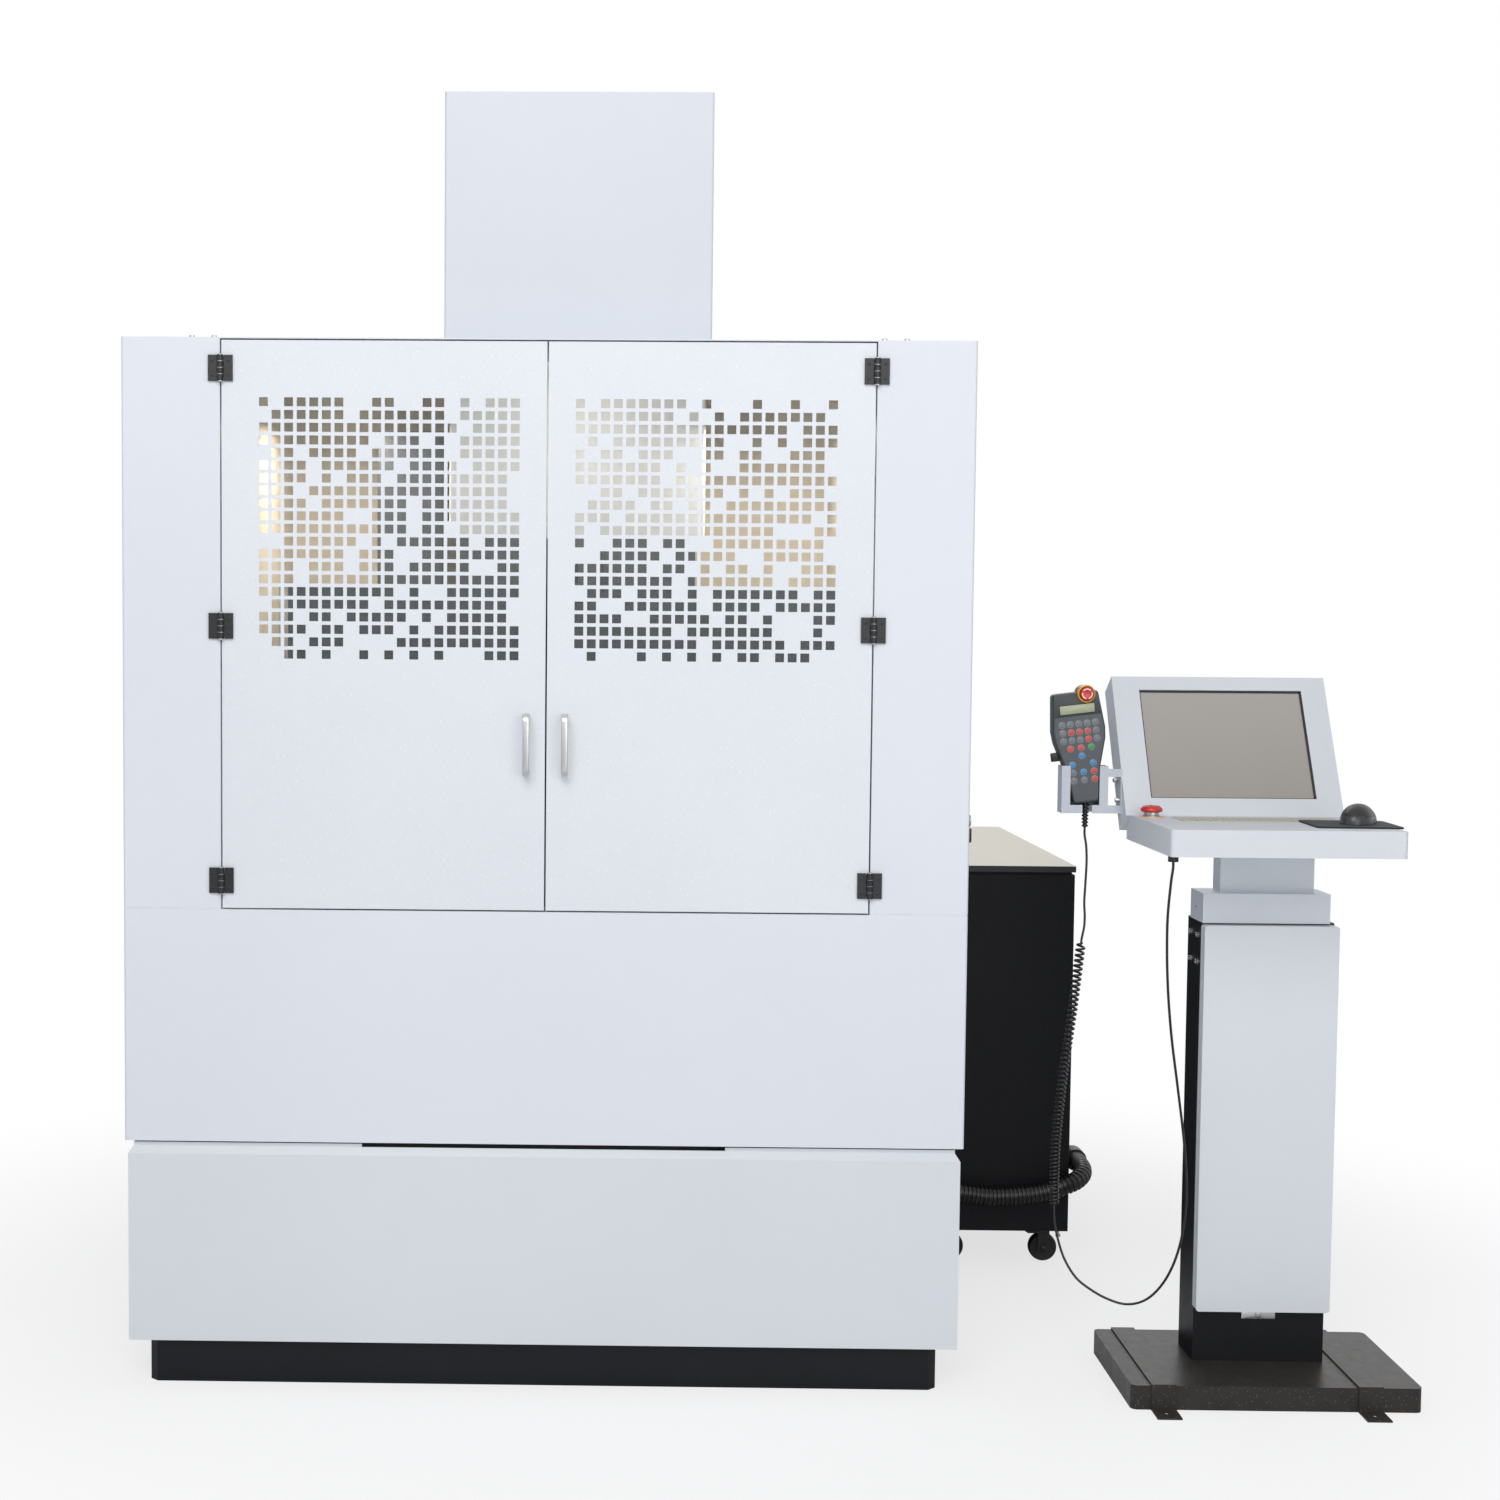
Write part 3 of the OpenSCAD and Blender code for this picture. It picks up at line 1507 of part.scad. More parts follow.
module neck() {
    collar_x = stand_x - collar_shift;
    stem_x = stand_x - stem_shift;
    y = post_front + collar_in;
    top = post_h + collar_h;
    color("#c3ccd6") {
        block([collar_x - collar_w / 2, collar_x + collar_w / 2], [y, y + collar_d], [post_h, top]);
        block([stem_x - stem_w / 2, stem_x + stem_w / 2],
            [post_front + stem_in, post_front + stem_in + stem_d], [top, tray_z]);
    }
}

// Places shapes in the frame of the leaning screen housing: X across, Z up its face
module on_face() {
    translate([face_x, face_y, tray_top]) rotate([-face_lean, 0, 0]) children();
}

module console_shell() {
    w = shell_wall;
    half = face_w / 2;
    pocket_x = screen_w / 2 + rest_gap;
    tray = [tray_x - tray_w / 2, tray_x + tray_w / 2];
    kx = tray[0] + keyboard_x;
    ky = tray_y[0] + keyboard_y;
    sx = tray[0] + stop_x;
    sy = tray_y[0] + stop_y;
    color("#c3ccd6") difference() {
        union() {
            round_block(tray, tray_y, [tray_z, tray_top], tray_r);
            on_face() block([-half, half], [0, face_t], [0, face_l]);
            cyl_z(sx, sy, tray_top, stop_ring_r, stop_ring_t);
            cyl_z(sx, sy, tray_top, stop_collar_r, stop_collar_h);
        }
        on_face() {
            block([screen_shift - pocket_x, screen_shift + pocket_x], [-cut, screen_recess + screen_t],
                [screen_low - rest_gap, screen_low + screen_h + rest_gap]);
            block([w - half, half - w], [screen_recess + screen_t + w, face_t - w],
                [face_t, face_l - w]);
        }
        block([kx - rest_gap, kx + keyboard_w + rest_gap], [ky - rest_gap, ky + keyboard_d + rest_gap],
            [tray_top - keyboard_t - keyboard_in, tray_top + cut]);
        block([tray[0] + w, tray[1] - w], [tray_y[0] + w, face_y - w],
            [tray_z + w, tray_top - keyboard_t - keyboard_in - w - stop_head_h]);
        cyl_z(sx, sy, tray_top + stop_collar_h - stop_bore_l, stop_stem_r + stop_stem_gap,
            stop_bore_l + cut);
    }
}

module screen() {
    color("#9a9c98") on_face()
        block([screen_shift - screen_w / 2, screen_shift + screen_w / 2],
            [screen_recess, screen_recess + screen_t], [screen_low, screen_low + screen_h]);
}

module keyboard() {
    x = tray_x - tray_w / 2 + keyboard_x;
    y = tray_y[0] + keyboard_y;
    z = tray_top - keyboard_in;
    pitch_x = (keyboard_w - key_gap) / key_n;
    pitch_y = (keyboard_d - key_gap) / key_rows;
    color("#b9b4a8") {
        block([x, x + keyboard_w], [y, y + keyboard_d], [z - keyboard_t, z]);
        for (i = [0 : key_n - 1], j = [0 : key_rows - 1])
            block([x + key_gap + i * pitch_x, x + (i + 1) * pitch_x],
                [y + key_gap + j * pitch_y, y + (j + 1) * pitch_y], [z, z + key_rise]);
    }
}

// Mushroom head of a stop button, upright, hollow under its crown
module mushroom(r, h, round_r, skirt_r, skirt, stem_r) {
    rotate_extrude() difference() {
        union() {
            square([r, h - round_r]);
            square([r - round_r, h]);
            translate([r - round_r, h - round_r]) intersection() {
                circle(round_r);
                square(r);
            }
        }
        translate([stem_r, -cut]) square([skirt_r - stem_r, skirt + cut]);
    }
}

module stop_button() {
    x = tray_x - tray_w / 2 + stop_x;
    y = tray_y[0] + stop_y;
    color("#c8281e") translate([x, y, tray_top + stop_collar_h - rest_gap]) {
        mushroom(stop_d / 2, stop_head_h, stop_round_r, stop_collar_r + stop_stem_gap, stop_skirt,
            stop_stem_r);
        cyl_z(0, 0, -stop_stem_l, stop_stem_r, stop_stem_l + cut);
    }
}

module mouse_pad() {
    color("#1a1d24") translate([tray_x - tray_w / 2 + pad_x, tray_y[0] + pad_y, tray_top]) rotate(pad_turn)
        round_block([-pad_w / 2, pad_w / 2], [-pad_d / 2, pad_d / 2], [0, pad_t], tray_r);
}

module mouse() {
    low = tray_top + pad_t + rest_gap;
    nose = [mouse_l / 2 - mouse_nose_r, mouse_w / 2 - mouse_nose_r, mouse_nose_r / 2];
    tail = [mouse_l / 2 - mouse_tail_r, mouse_w / 2 - mouse_tail_r, mouse_tail_r / 2];
    color("#131416") translate([tray_x - tray_w / 2 + mouse_x, tray_y[0] + mouse_y, low])
        rotate(mouse_turn) intersection() {
            hull($fn = mouse_sides) {
                for (s = [-1, 1]) {
                    translate([nose[0], s * nose[1], nose[2]]) sphere(mouse_nose_r);
                    translate([-tail[0], s * tail[1], tail[2]]) sphere(mouse_tail_r);
                }
                translate([-mouse_back, 0, mouse_h / 2]) sphere(mouse_h / 2);
            }
            block([-mouse_l, mouse_l], [-mouse_l, mouse_l], [0, mouse_h]);
        }
}

module handset_holder() {
    t = holder_t;
    x = holder_x;
    y = holder_y;
    side_x = face_x - face_w / 2;
    color("#c3ccd6") difference() {
        union() {
            block(x, [y[1] - t, y[1]], [holder_z, holder_top]);
            for (s = [0, 1])
                block([x[s] - s * t, x[s] + (1 - s) * t], y, [holder_z, holder_top]);
            for (s = [0, 1])
                block([x[s] - s * holder_lip, x[s] + (1 - s) * holder_lip], [y[0], y[0] + t],
                    [holder_z, holder_top]);
            block(x, y, [holder_shelf - t, holder_shelf]);
            block([x[0], side_x], [y[0], y[0] + t], [holder_z, holder_shelf]);
            block([x[1] - t, side_x], [y[0], y[0] + t], arm_z);
            block([side_x - t, side_x], [y[0], y[1]], [holder_z, arm_z[1]]);
        }
        block([handset_x - slot_r, handset_x + slot_r], [y[0] - cut, cord_top_route[0][1] + slot_r],
            [holder_z - cut, holder_shelf + cut]);
    }
}

// Places shapes in the frame of the leaning handset: X across, Z up its case
module on_handset() {
    translate([handset_x, handset_y, handset_z]) rotate([0, -handset_lean, 0]) children();
}

module handset_outline() {
    n = len(outline_w) - 1;
    offset(r = outline_r) offset(delta = -outline_r) polygon([
        for (i = [0 : n]) [outline_w[i], outline_shares[i] * handset_h],
        for (i = [n : -1 : 0]) [-outline_w[i], outline_shares[i] * handset_h],
    ]);
}

module handset() {
    relief_y = cord_top_route[0][1];
    step = (handset_z - relief_z) / (2 * relief_ring_n);
    bore_l = handset_stem_l + stop_travel + rest_gap;
    color("#2c2f33") {
        on_handset() difference() {
            union() {
                upright(0, handset_t) handset_outline();
                cyl_y(handset_stop_x, 0, handset_stop_z, lobe_r, handset_t);
            }
            cyl_y(handset_stop_x, -cut, handset_stop_z, handset_stem_r + stop_stem_gap, cut + bore_l);
        }
        cyl_z(handset_x, relief_y, relief_z, relief_core_r, handset_z + relief_r - relief_z);
        for (i = [0 : relief_ring_n - 1])
            cyl_z(handset_x, relief_y, relief_z + (2 * i + 1) * step, relief_r, step);
    }
}

module handset_keypad() {
    rows = keypad_rows;
    wide = max(rows);
    color("#3a3f45") on_handset() {
        upright(-keypad_t, keypad_t) round_rect([-lcd_w / 2, lcd_w / 2],
            [lcd_z - lcd_h / 2, lcd_z + lcd_h / 2], outline_r);
        for (j = [0 : len(rows) - 1], i = [0 : rows[j] - 1])
            cyl_y((i - (rows[j] - 1) / 2) * key_pitch_x * (rows[j] == wide ? 1 : key_spread_share),
                -keypad_t, key_top_z - j * key_pitch_z, key_r, keypad_t);
    }
}

module handset_stop() {
    y = -stop_travel - rest_gap;
    color("#c8281e") on_handset() {
        cyl_y(handset_stop_x, y - handset_stop_h, handset_stop_z, handset_stop_r, handset_stop_h);
        cyl_y(handset_stop_x, y, handset_stop_z, handset_stem_r, handset_stem_l - y);
    }
}

plinth();
bed();
lower_cover();
middle_cover();
left_side_panel();
right_side_panel();
roof_panel();
rear_panel();
column_cover();
chamber_liner();
splash_guard();
left_door();
right_door();
left_window();
right_window();
left_door_hinges();
right_door_hinges();
frame_hinges();
left_handle();
right_handle();
column();
head();
upper_arm();
lower_arm();
upper_pulley();
lower_pulley();
wire();
tension_housing();
saddle();
worktable();
drum_carriage();
wire_drum();
cabinet_body();
cabinet_lid();
caster_mounts();
left_caster_fork();
right_caster_fork();
front_left_wheel();
front_right_wheel();
rear_left_wheel();
rear_right_wheel();
conduit();
cable_glands();
base_plate();
post();
post_cover();
neck();
console_shell();
screen();
keyboard();
stop_button();
mouse_pad();
mouse();
handset_holder();
handset();
handset_keypad();
handset_stop();
cord_top();
cord_curls();
cord_tail();
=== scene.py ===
# Wire-cutting spark erosion machine: enclosure, power cabinet and console, dressed for a studio picture
import bpy
import bmesh
import math
from mathutils import Matrix, Vector


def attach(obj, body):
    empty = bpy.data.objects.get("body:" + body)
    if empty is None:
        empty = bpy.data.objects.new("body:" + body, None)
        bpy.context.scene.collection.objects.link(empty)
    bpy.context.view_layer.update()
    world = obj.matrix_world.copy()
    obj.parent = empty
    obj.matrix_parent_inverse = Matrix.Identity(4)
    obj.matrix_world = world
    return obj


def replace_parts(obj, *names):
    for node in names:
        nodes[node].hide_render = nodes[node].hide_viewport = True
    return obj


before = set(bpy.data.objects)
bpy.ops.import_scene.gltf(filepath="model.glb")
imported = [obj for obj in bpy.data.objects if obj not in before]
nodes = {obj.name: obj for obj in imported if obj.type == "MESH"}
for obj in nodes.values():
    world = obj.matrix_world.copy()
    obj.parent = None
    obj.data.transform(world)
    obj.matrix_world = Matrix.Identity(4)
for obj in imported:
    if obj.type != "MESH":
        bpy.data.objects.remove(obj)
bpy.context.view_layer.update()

# The camera stands where the picture was taken
view = {
    "place": (0.12017, -4.9213, 1.38642),
    "yaw": -0.0159213,
    "pitch": 0.0618194,   # looks down a little
    "roll": 0.0072501,
    "focalPixels": 2295.81,
    "middlePixel": (575.83, 771.37),   # where the optical axis meets the picture
    "picture": 1500.0,
    "sensor": 36.0,
}


def newObject(name, data):
    obj = bpy.data.objects.new(name, data)
    bpy.context.scene.collection.objects.link(obj)
    return obj


def placeCamera(v):
    forward = Vector((math.sin(v["yaw"]) * math.cos(v["pitch"]),
                      math.cos(v["yaw"]) * math.cos(v["pitch"]), -math.sin(v["pitch"])))
    level = Vector((math.cos(v["yaw"]), -math.sin(v["yaw"]), 0.0))
    upright = level.cross(forward)
    right = math.cos(v["roll"]) * level + math.sin(v["roll"]) * upright
    up = math.cos(v["roll"]) * upright - math.sin(v["roll"]) * level
    camera = newObject("camera", bpy.data.cameras.new("camera"))
    camera.matrix_world = Matrix.Translation(v["place"]) @ Matrix((right, up, -forward)).transposed().to_4x4()
    camera.data.sensor_width = v["sensor"]
    camera.data.lens = v["focalPixels"] / v["picture"] * v["sensor"]
    camera.data.shift_x = 0.5 - v["middlePixel"][0] / v["picture"]
    camera.data.shift_y = v["middlePixel"][1] / v["picture"] - 0.5
    camera.data.clip_start = 0.05
    camera.data.clip_end = 60.0
    bpy.context.scene.camera = camera


placeCamera(view)
print("camera placed")


def linear(code):
    # sRGB hex to linear
    values = [int(code[i:i + 2], 16) / 255.0 for i in (1, 3, 5)]
    return [v / 12.92 if v <= 0.04045 else ((v + 0.055) / 1.055) ** 2.4 for v in values] + [1.0]


def setInputs(tree, node, inputs):
    for key, value in inputs.items():
        if isinstance(value, bpy.types.NodeSocket):
            tree.links.new(value, node.inputs[key])
        else:
            node.inputs[key].default_value = value


def addNode(tree, kind, inputs=None, **settings):
    node = tree.nodes.new(kind)
    for key, value in settings.items():
        setattr(node, key, value)
    setInputs(tree, node, inputs or {})
    return node


def ramp(tree, factor, stops):
    node = addNode(tree, "ShaderNodeValToRGB", {"Fac": factor})
    while len(node.color_ramp.elements) < len(stops):
        node.color_ramp.elements.new(0.5)
    for element, (place, colour) in zip(node.color_ramp.elements, stops):
        element.position = place
        element.color = colour
    return node.outputs["Color"]


def grey(value):
    return (value, value, value, 1.0)


def mixColour(tree, factor, a, b):
    # sockets 0, 6 and 7 are the factor and the two colours, and output 2 is the colour
    return addNode(tree, "ShaderNodeMix", {0: factor, 6: a, 7: b}, data_type="RGBA").outputs[2]


def bump(tree, height, strength, distance):
    return addNode(tree, "ShaderNodeBump", {
        "Height": height, "Strength": strength, "Distance": distance}).outputs[0]


def newMaterial(name):
    material = bpy.data.materials.new(name)
    material.use_nodes = True
    tree = material.node_tree
    shader = tree.nodes["Principled BSDF"]
    place = addNode(tree, "ShaderNodeTexCoord").outputs["Object"]
    return material, tree, shader, place


def noise(tree, place, size, detail=3.0, roughness=0.55, stretch=None):
    # size is the width of one blotch in metres
    if stretch:
        place = addNode(tree, "ShaderNodeMapping", {"Vector": place, "Scale": stretch}).outputs[0]
    return addNode(tree, "ShaderNodeTexNoise", {
        "Vector": place, "Scale": 1.0 / size, "Detail": detail, "Roughness": roughness}).outputs["Fac"]


def coated(name, colour, blotch, blotchSize, gloss, glossSwing, peelSize, peel, metal=0.0, coat=0.0,
           ior=1.5, stretch=None, specksAndGlints=None, fleckSize=0.004, fleckShare=0.1, fleckEdge=0.12,
           blotchShare=0.3):
    # One colour with soft blotches of another, a swing in its gloss and a fine relief, the peel.
    # The sizes of blotches, peel and flecks are in metres.
    material, tree, shader, place = newMaterial(name)
    blotches = ramp(tree, noise(tree, place, blotchSize, stretch=stretch),
                    [(0.5 - blotchShare, linear(colour)), (0.5 + blotchShare, linear(blotch))])
    # spots of a second colour: real specks on the base plate, painted glints on the doors
    if specksAndGlints:
        spots = addNode(tree, "ShaderNodeTexVoronoi", {"Vector": place, "Scale": 1.0 / fleckSize})
        near = ramp(tree, spots.outputs["Distance"],
                    [(fleckShare, grey(1.0)), (fleckShare + fleckEdge, grey(0.0))])
        chance = addNode(tree, "ShaderNodeSeparateColor", {"Color": spots.outputs["Color"]}).outputs[0]
        some = ramp(tree, chance, [(0.45, grey(0.0)), (0.75, grey(1.0))])   # about half the spots show
        mask = addNode(tree, "ShaderNodeMath", {0: near, 1: some}, operation="MULTIPLY").outputs[0]
        blotches = mixColour(tree, mask, blotches, linear(specksAndGlints))
    rough = addNode(tree, "ShaderNodeMapRange", {
        "Value": noise(tree, place, blotchSize * 0.37, stretch=stretch),
        "To Min": gloss - glossSwing, "To Max": gloss + glossSwing}).outputs[0]
    relief = bump(tree, noise(tree, place, peelSize, 2.0), peel, peelSize * 0.25)
    setInputs(tree, shader, {"Base Color": blotches, "Roughness": rough, "Normal": relief, "Metallic": metal,
                             "Coat Weight": coat, "Coat Roughness": 0.15})
    if metal < 0.5:
        shader.inputs["IOR"].default_value = ior
    return material


# Polyester powder coat on sheet steel: bluish white, half matt; the fine sparkle of its relief is painted as
# pale glint flecks.
# The real relief is under a millimetre wide and is drawn at 6 mm so that it shows.
doorCoat = coated("doorPowderCoat", "#E7EBF1", "#E1E6ED", 0.5, 0.42, 0.05, 0.006, 0.22, specksAndGlints="#F6F8FC",
                  fleckSize=0.007, fleckShare=0.1)
panelCoat = coated("panelPowderCoat", "#E6EAF1", "#E0E5ED", 0.8, 0.45, 0.04, 0.004, 0.08)
# The covers below are a little greyer: painted shade, as the light falls from above
shadedCoverCoat = coated("coverCoatPaintedShade", "#E1E5EA", "#DADFE5", 0.8, 0.45, 0.04, 0.004, 0.08)
# Console sheet steel, light grey powder coat, slightly softer than the enclosure's
consoleCoat = coated("consolePowderCoat", "#DDE2E8", "#D6DBE2", 0.25, 0.46, 0.05, 0.003, 0.1)
# The neck: the console's light grey made lighter still, painted light that brightens its collar under the
# tray's shade
litNeckCoat = coated("neckCoatPaintedLight", "#E2E7ED", "#DBE0E6", 0.12, 0.4, 0.06, 0.003, 0.08)
holderCoat = coated("holderPowderCoat", "#C6CCD4", "#BDC4CC", 0.12, 0.44, 0.05, 0.003, 0.08)
# Leatherette powder coat: black, leathery relief about 1.5 mm wide
cabinetCoat = coated("leatheretteBlackCoat", "#101114", "#0C0D10", 0.4, 0.5, 0.06, 0.004, 0.35, ior=1.3)
# Satin enamel over fabricated steel, near black with a blue cast
plinthEnamel = coated("plinthSatinEnamel", "#1A1B1F", "#15161A", 0.35, 0.4, 0.08, 0.006, 0.06, ior=1.3,
                      blotchShare=0.35)
postEnamel = coated("postSatinEnamel", "#15161A", "#111215", 0.25, 0.38, 0.08, 0.005, 0.05, ior=1.3,
                    blotchShare=0.35)
# Semi-gloss enamel on flame-cut plate, dusty and speckled
plateEnamel = coated("plateSpeckledEnamel", "#2E2C2B", "#383431", 0.06, 0.34, 0.1, 0.004, 0.25,
                     specksAndGlints="#6A625A", fleckSize=0.0045, fleckShare=0.16, ior=1.35, blotchShare=0.25)
# Cream enamel inside the work chamber
chamberEnamel = coated("chamberCreamEnamel", "#D6CCBA", "#CABFAB", 0.4, 0.5, 0.06, 0.006, 0.1)
# Painted casting: warm dark grey with the grain of the mould
castEnamel = coated("castingEnamel", "#5A5654", "#4C4946", 0.15, 0.55, 0.08, 0.008, 0.35)
groundSteel = coated("groundSteel", "#9A9EA3", "#868A8F", 0.1, 0.3, 0.08, 0.003, 0.1, metal=1.0,
                     stretch=(1.0, 12.0, 1.0))
headEnamel = coated("headLightGreyEnamel", "#CBD0D3", "#C0C5C9", 0.3, 0.4, 0.06, 0.005, 0.06)
armEnamel = coated("armDarkEnamel", "#34373B", "#2C2F33", 0.2, 0.42, 0.06, 0.005, 0.1)
guardEnamel = coated("guardDarkEnamel", "#26292D", "#1F2226", 0.4, 0.4, 0.08, 0.006, 0.08)
# Anodised aluminium: satin, faint lengthwise grain
anodised = coated("satinAnodisedAluminium", "#D3D4D2", "#C4C5C3", 0.03, 0.3, 0.06, 0.001, 0.1, metal=0.9,
                  stretch=(3.0, 3.0, 0.3))
brightZinc = coated("brightZincPlate", "#C7C8C6", "#B2B3B0", 0.01, 0.25, 0.06, 0.001, 0.08, metal=1.0)
drumAluminium = coated("turnedAluminium", "#B6B9BD", "#A5A8AC", 0.05, 0.28, 0.05, 0.002, 0.12, metal=1.0,
                       stretch=(30.0, 1.0, 1.0))
brassWire = coated("cuttingBrassWire", "#D8B24A", "#C9A23E", 0.02, 0.25, 0.05, 0.002, 0.05, metal=1.0)
# Black e-coat on the hinges
hingeCoat = coated("hingeBlackCoat", "#1B1C1F", "#131416", 0.02, 0.42, 0.08, 0.0012, 0.15)
# PVC and rubber
cordSheath = coated("cordBlackSheath", "#161618", "#101012", 0.02, 0.38, 0.06, 0.001, 0.1)
conduitPlastic = coated("conduitPolyamide", "#1A1A1C", "#121214", 0.03, 0.35, 0.06, 0.002, 0.12)
wheelRubber = coated("wheelRubber", "#131416", "#1E1E20", 0.02, 0.6, 0.08, 0.002, 0.2)
glandNylon = coated("glandNylon", "#151517", "#1E1E21", 0.01, 0.4, 0.06, 0.001, 0.1)
# Moulded ABS
handsetAbs = coated("handsetCharcoalAbs", "#3B3F43", "#33373B", 0.03, 0.45, 0.06, 0.0012, 0.25)
overlayFilm = coated("overlayPolyester", "#4A4F54", "#444A4F", 0.03, 0.35, 0.04, 0.0012, 0.08)
mouseAbs = coated("mouseBlackAbs", "#17181A", "#101113", 0.03, 0.4, 0.08, 0.001, 0.2)
mouseSide = coated("mouseGreyAbs", "#3A3D41", "#2F3236", 0.02, 0.3, 0.05, 0.001, 0.1)
padCloth = coated("padBlackCloth", "#1A1E26", "#13161C", 0.004, 0.75, 0.08, 0.0012, 0.5)
stopRed = coated("stopRedPlastic", "#D2201C", "#BC1A17", 0.01, 0.28, 0.05, 0.001, 0.05, coat=0.3)
signYellow = coated("stopYellowPlastic", "#E8B62C", "#DCA824", 0.01, 0.4, 0.05, 0.001, 0.05)
markWhite = coated("markWhitePaint", "#F1F1EE", "#E6E6E2", 0.01, 0.45, 0.05, 0.001, 0.05)
keyIvory = coated("keyIvoryPlastic", "#C9C3B7", "#BEB8AB", 0.02, 0.5, 0.06, 0.001, 0.2)
keyGap = coated("keyBedGreyPlastic", "#A09A8F", "#958F84", 0.02, 0.55, 0.06, 0.001, 0.2)
keyGrey, keyRing, keyRed, keyGreen, keyBlue = [
    coated(name, colour, blotch, 0.01, 0.4, 0.05, 0.001, 0.08) for name, colour, blotch in (
        ("keyGreyFilm", "#777C80", "#6D7276"), ("keyRingFilm", "#8F959A", "#868C91"),
        ("keyRedFilm", "#D2504A", "#C44640"), ("keyGreenFilm", "#3F9C55", "#378F4C"),
        ("keyBlueFilm", "#3E8FC8", "#3683BA"))]
displayGreen = coated("characterDisplay", "#A4AB8B", "#989F80", 0.02, 0.25, 0.04, 0.001, 0.03, coat=0.4)
# Black for the handset's trims, and for the painted shadow in the screen's recess
blackTrimAndPaintedShadow = coated("blackTrimAndPaintedShadow", "#0B0B0C", "#141415", 0.02, 0.5, 0.05, 0.001, 0.1)

screenSheenReach = {"low": 1.08, "high": 1.29}   # heights between which a painted sheen lightens the screen's grey towards the top


def screenMaterial():
    # Anti-glare polariser of a flat panel that is off: warm grey, matt, with a painted sheen that makes it a
    # little lighter to the top
    material, tree, shader, place = newMaterial("panelPolariser")
    height = addNode(tree, "ShaderNodeSeparateXYZ", {"Vector": place}).outputs["Z"]
    # painted sheen: the grey lightens with height
    rise = addNode(tree, "ShaderNodeMapRange", {
        "Value": height, "From Min": screenSheenReach["low"], "From Max": screenSheenReach["high"]}).outputs[0]
    base = ramp(tree, rise, [(0.0, linear("#A29D97")), (1.0, linear("#AEA9A4"))])
    relief = bump(tree, noise(tree, place, 0.0012, 2.0), 0.12, 0.0003)
    setInputs(tree, shader, {"Base Color": base, "Normal": relief, "Roughness": 0.38, "IOR": 1.49})
    return material


def paneMaterial():
    # Clear acrylic behind the pierced field, with a faint haze of cleaning marks
    material, tree, shader, place = newMaterial("clearAcrylic")
    rough = addNode(tree, "ShaderNodeMapRange", {
        "Value": noise(tree, place, 0.08), "To Min": 0.02, "To Max": 0.12}).outputs[0]
    setInputs(tree, shader, {"Base Color": linear("#E4ECEC"), "Alpha": 0.06, "IOR": 1.49, "Roughness": rough})
    return material


def lidMaterial():
    # Milled stainless sheet, grain along the depth; the folded edges carry the cabinet's black coat
    material, tree, shader, place = newMaterial("lidSheetBlackEdged")
    grain = noise(tree, place, 0.02, 4.0, stretch=(14.0, 0.8, 1.0))
    base = ramp(tree, grain, [(0.2, linear("#A9A598")), (0.8, linear("#B7B3A6"))])
    facing = addNode(tree, "ShaderNodeSeparateXYZ", {
        "Vector": addNode(tree, "ShaderNodeNewGeometry").outputs["Normal"]}).outputs["Z"]
    top = ramp(tree, facing, [(0.6, grey(0.0)), (0.75, grey(1.0))])
    metal = addNode(tree, "ShaderNodeMapRange", {"Value": top, "To Min": 0.0, "To Max": 0.55}).outputs[0]
    setInputs(tree, shader, {"Base Color": mixColour(tree, top, linear("#191B1F"), base), "Metallic": metal,
                             "Normal": bump(tree, grain, 0.05, 0.001), "Roughness": 0.42})
    return material


panelPolariser = screenMaterial()
clearAcrylic = paneMaterial()
lidSheet = lidMaterial()

nodesByFinish = [
    (plinthEnamel, "plinth"),
    (castEnamel, "bed column saddle drum_carriage"),
    (shadedCoverCoat, "lower_cover post_cover"),
    (panelCoat, "middle_cover left_side_panel right_side_panel roof_panel rear_panel column_cover"),
    (chamberEnamel, "chamber_liner"),
    (guardEnamel, "splash_guard"),
    (doorCoat, "left_door right_door"),
    (clearAcrylic, "left_window right_window"),
    (hingeCoat, "left_door_hinges right_door_hinges frame_hinges caster_mounts left_caster_fork "
                "right_caster_fork"),
    (anodised, "left_handle right_handle"),
    (headEnamel, "head"),
    (armEnamel, "upper_arm lower_arm tension_housing"),
    (groundSteel, "upper_pulley lower_pulley worktable"),
    (brassWire, "wire"),
    (drumAluminium, "wire_drum"),
    (cabinetCoat, "cabinet_body"),
    (lidSheet, "cabinet_lid"),
    (wheelRubber, "front_left_wheel front_right_wheel rear_left_wheel rear_right_wheel"),
    (conduitPlastic, "conduit"),
    (glandNylon, "cable_glands"),
    (plateEnamel, "base_plate"),
    (postEnamel, "post"),
    (litNeckCoat, "neck"),
    (consoleCoat, "console_shell"),
    (panelPolariser, "screen"),
    (keyIvory, "keyboard"),
    (stopRed, "stop_button handset_stop"),
    (padCloth, "mouse_pad"),
    (mouseAbs, "mouse"),
    (holderCoat, "handset_holder"),
    (handsetAbs, "handset"),
    (overlayFilm, "handset_keypad"),
    (cordSheath, "cord_top cord_curls cord_tail"),
]
for finish, names in nodesByFinish:
    for nodeName in names.split():
        for materialSlot in nodes[nodeName].material_slots:
            materialSlot.material = finish
print("finishes set")


# Modelling helpers
def clearSelection():
    if bpy.context.object and bpy.context.object.mode != "OBJECT":
        bpy.ops.object.mode_set(mode="OBJECT")
    bpy.ops.object.select_all(action="DESELECT")


def onlySelect(obj):
    clearSelection()
    obj.select_set(True)
    bpy.context.view_layer.objects.active = obj


def editing(obj):
    onlySelect(obj)
    bpy.ops.object.mode_set(mode="EDIT")


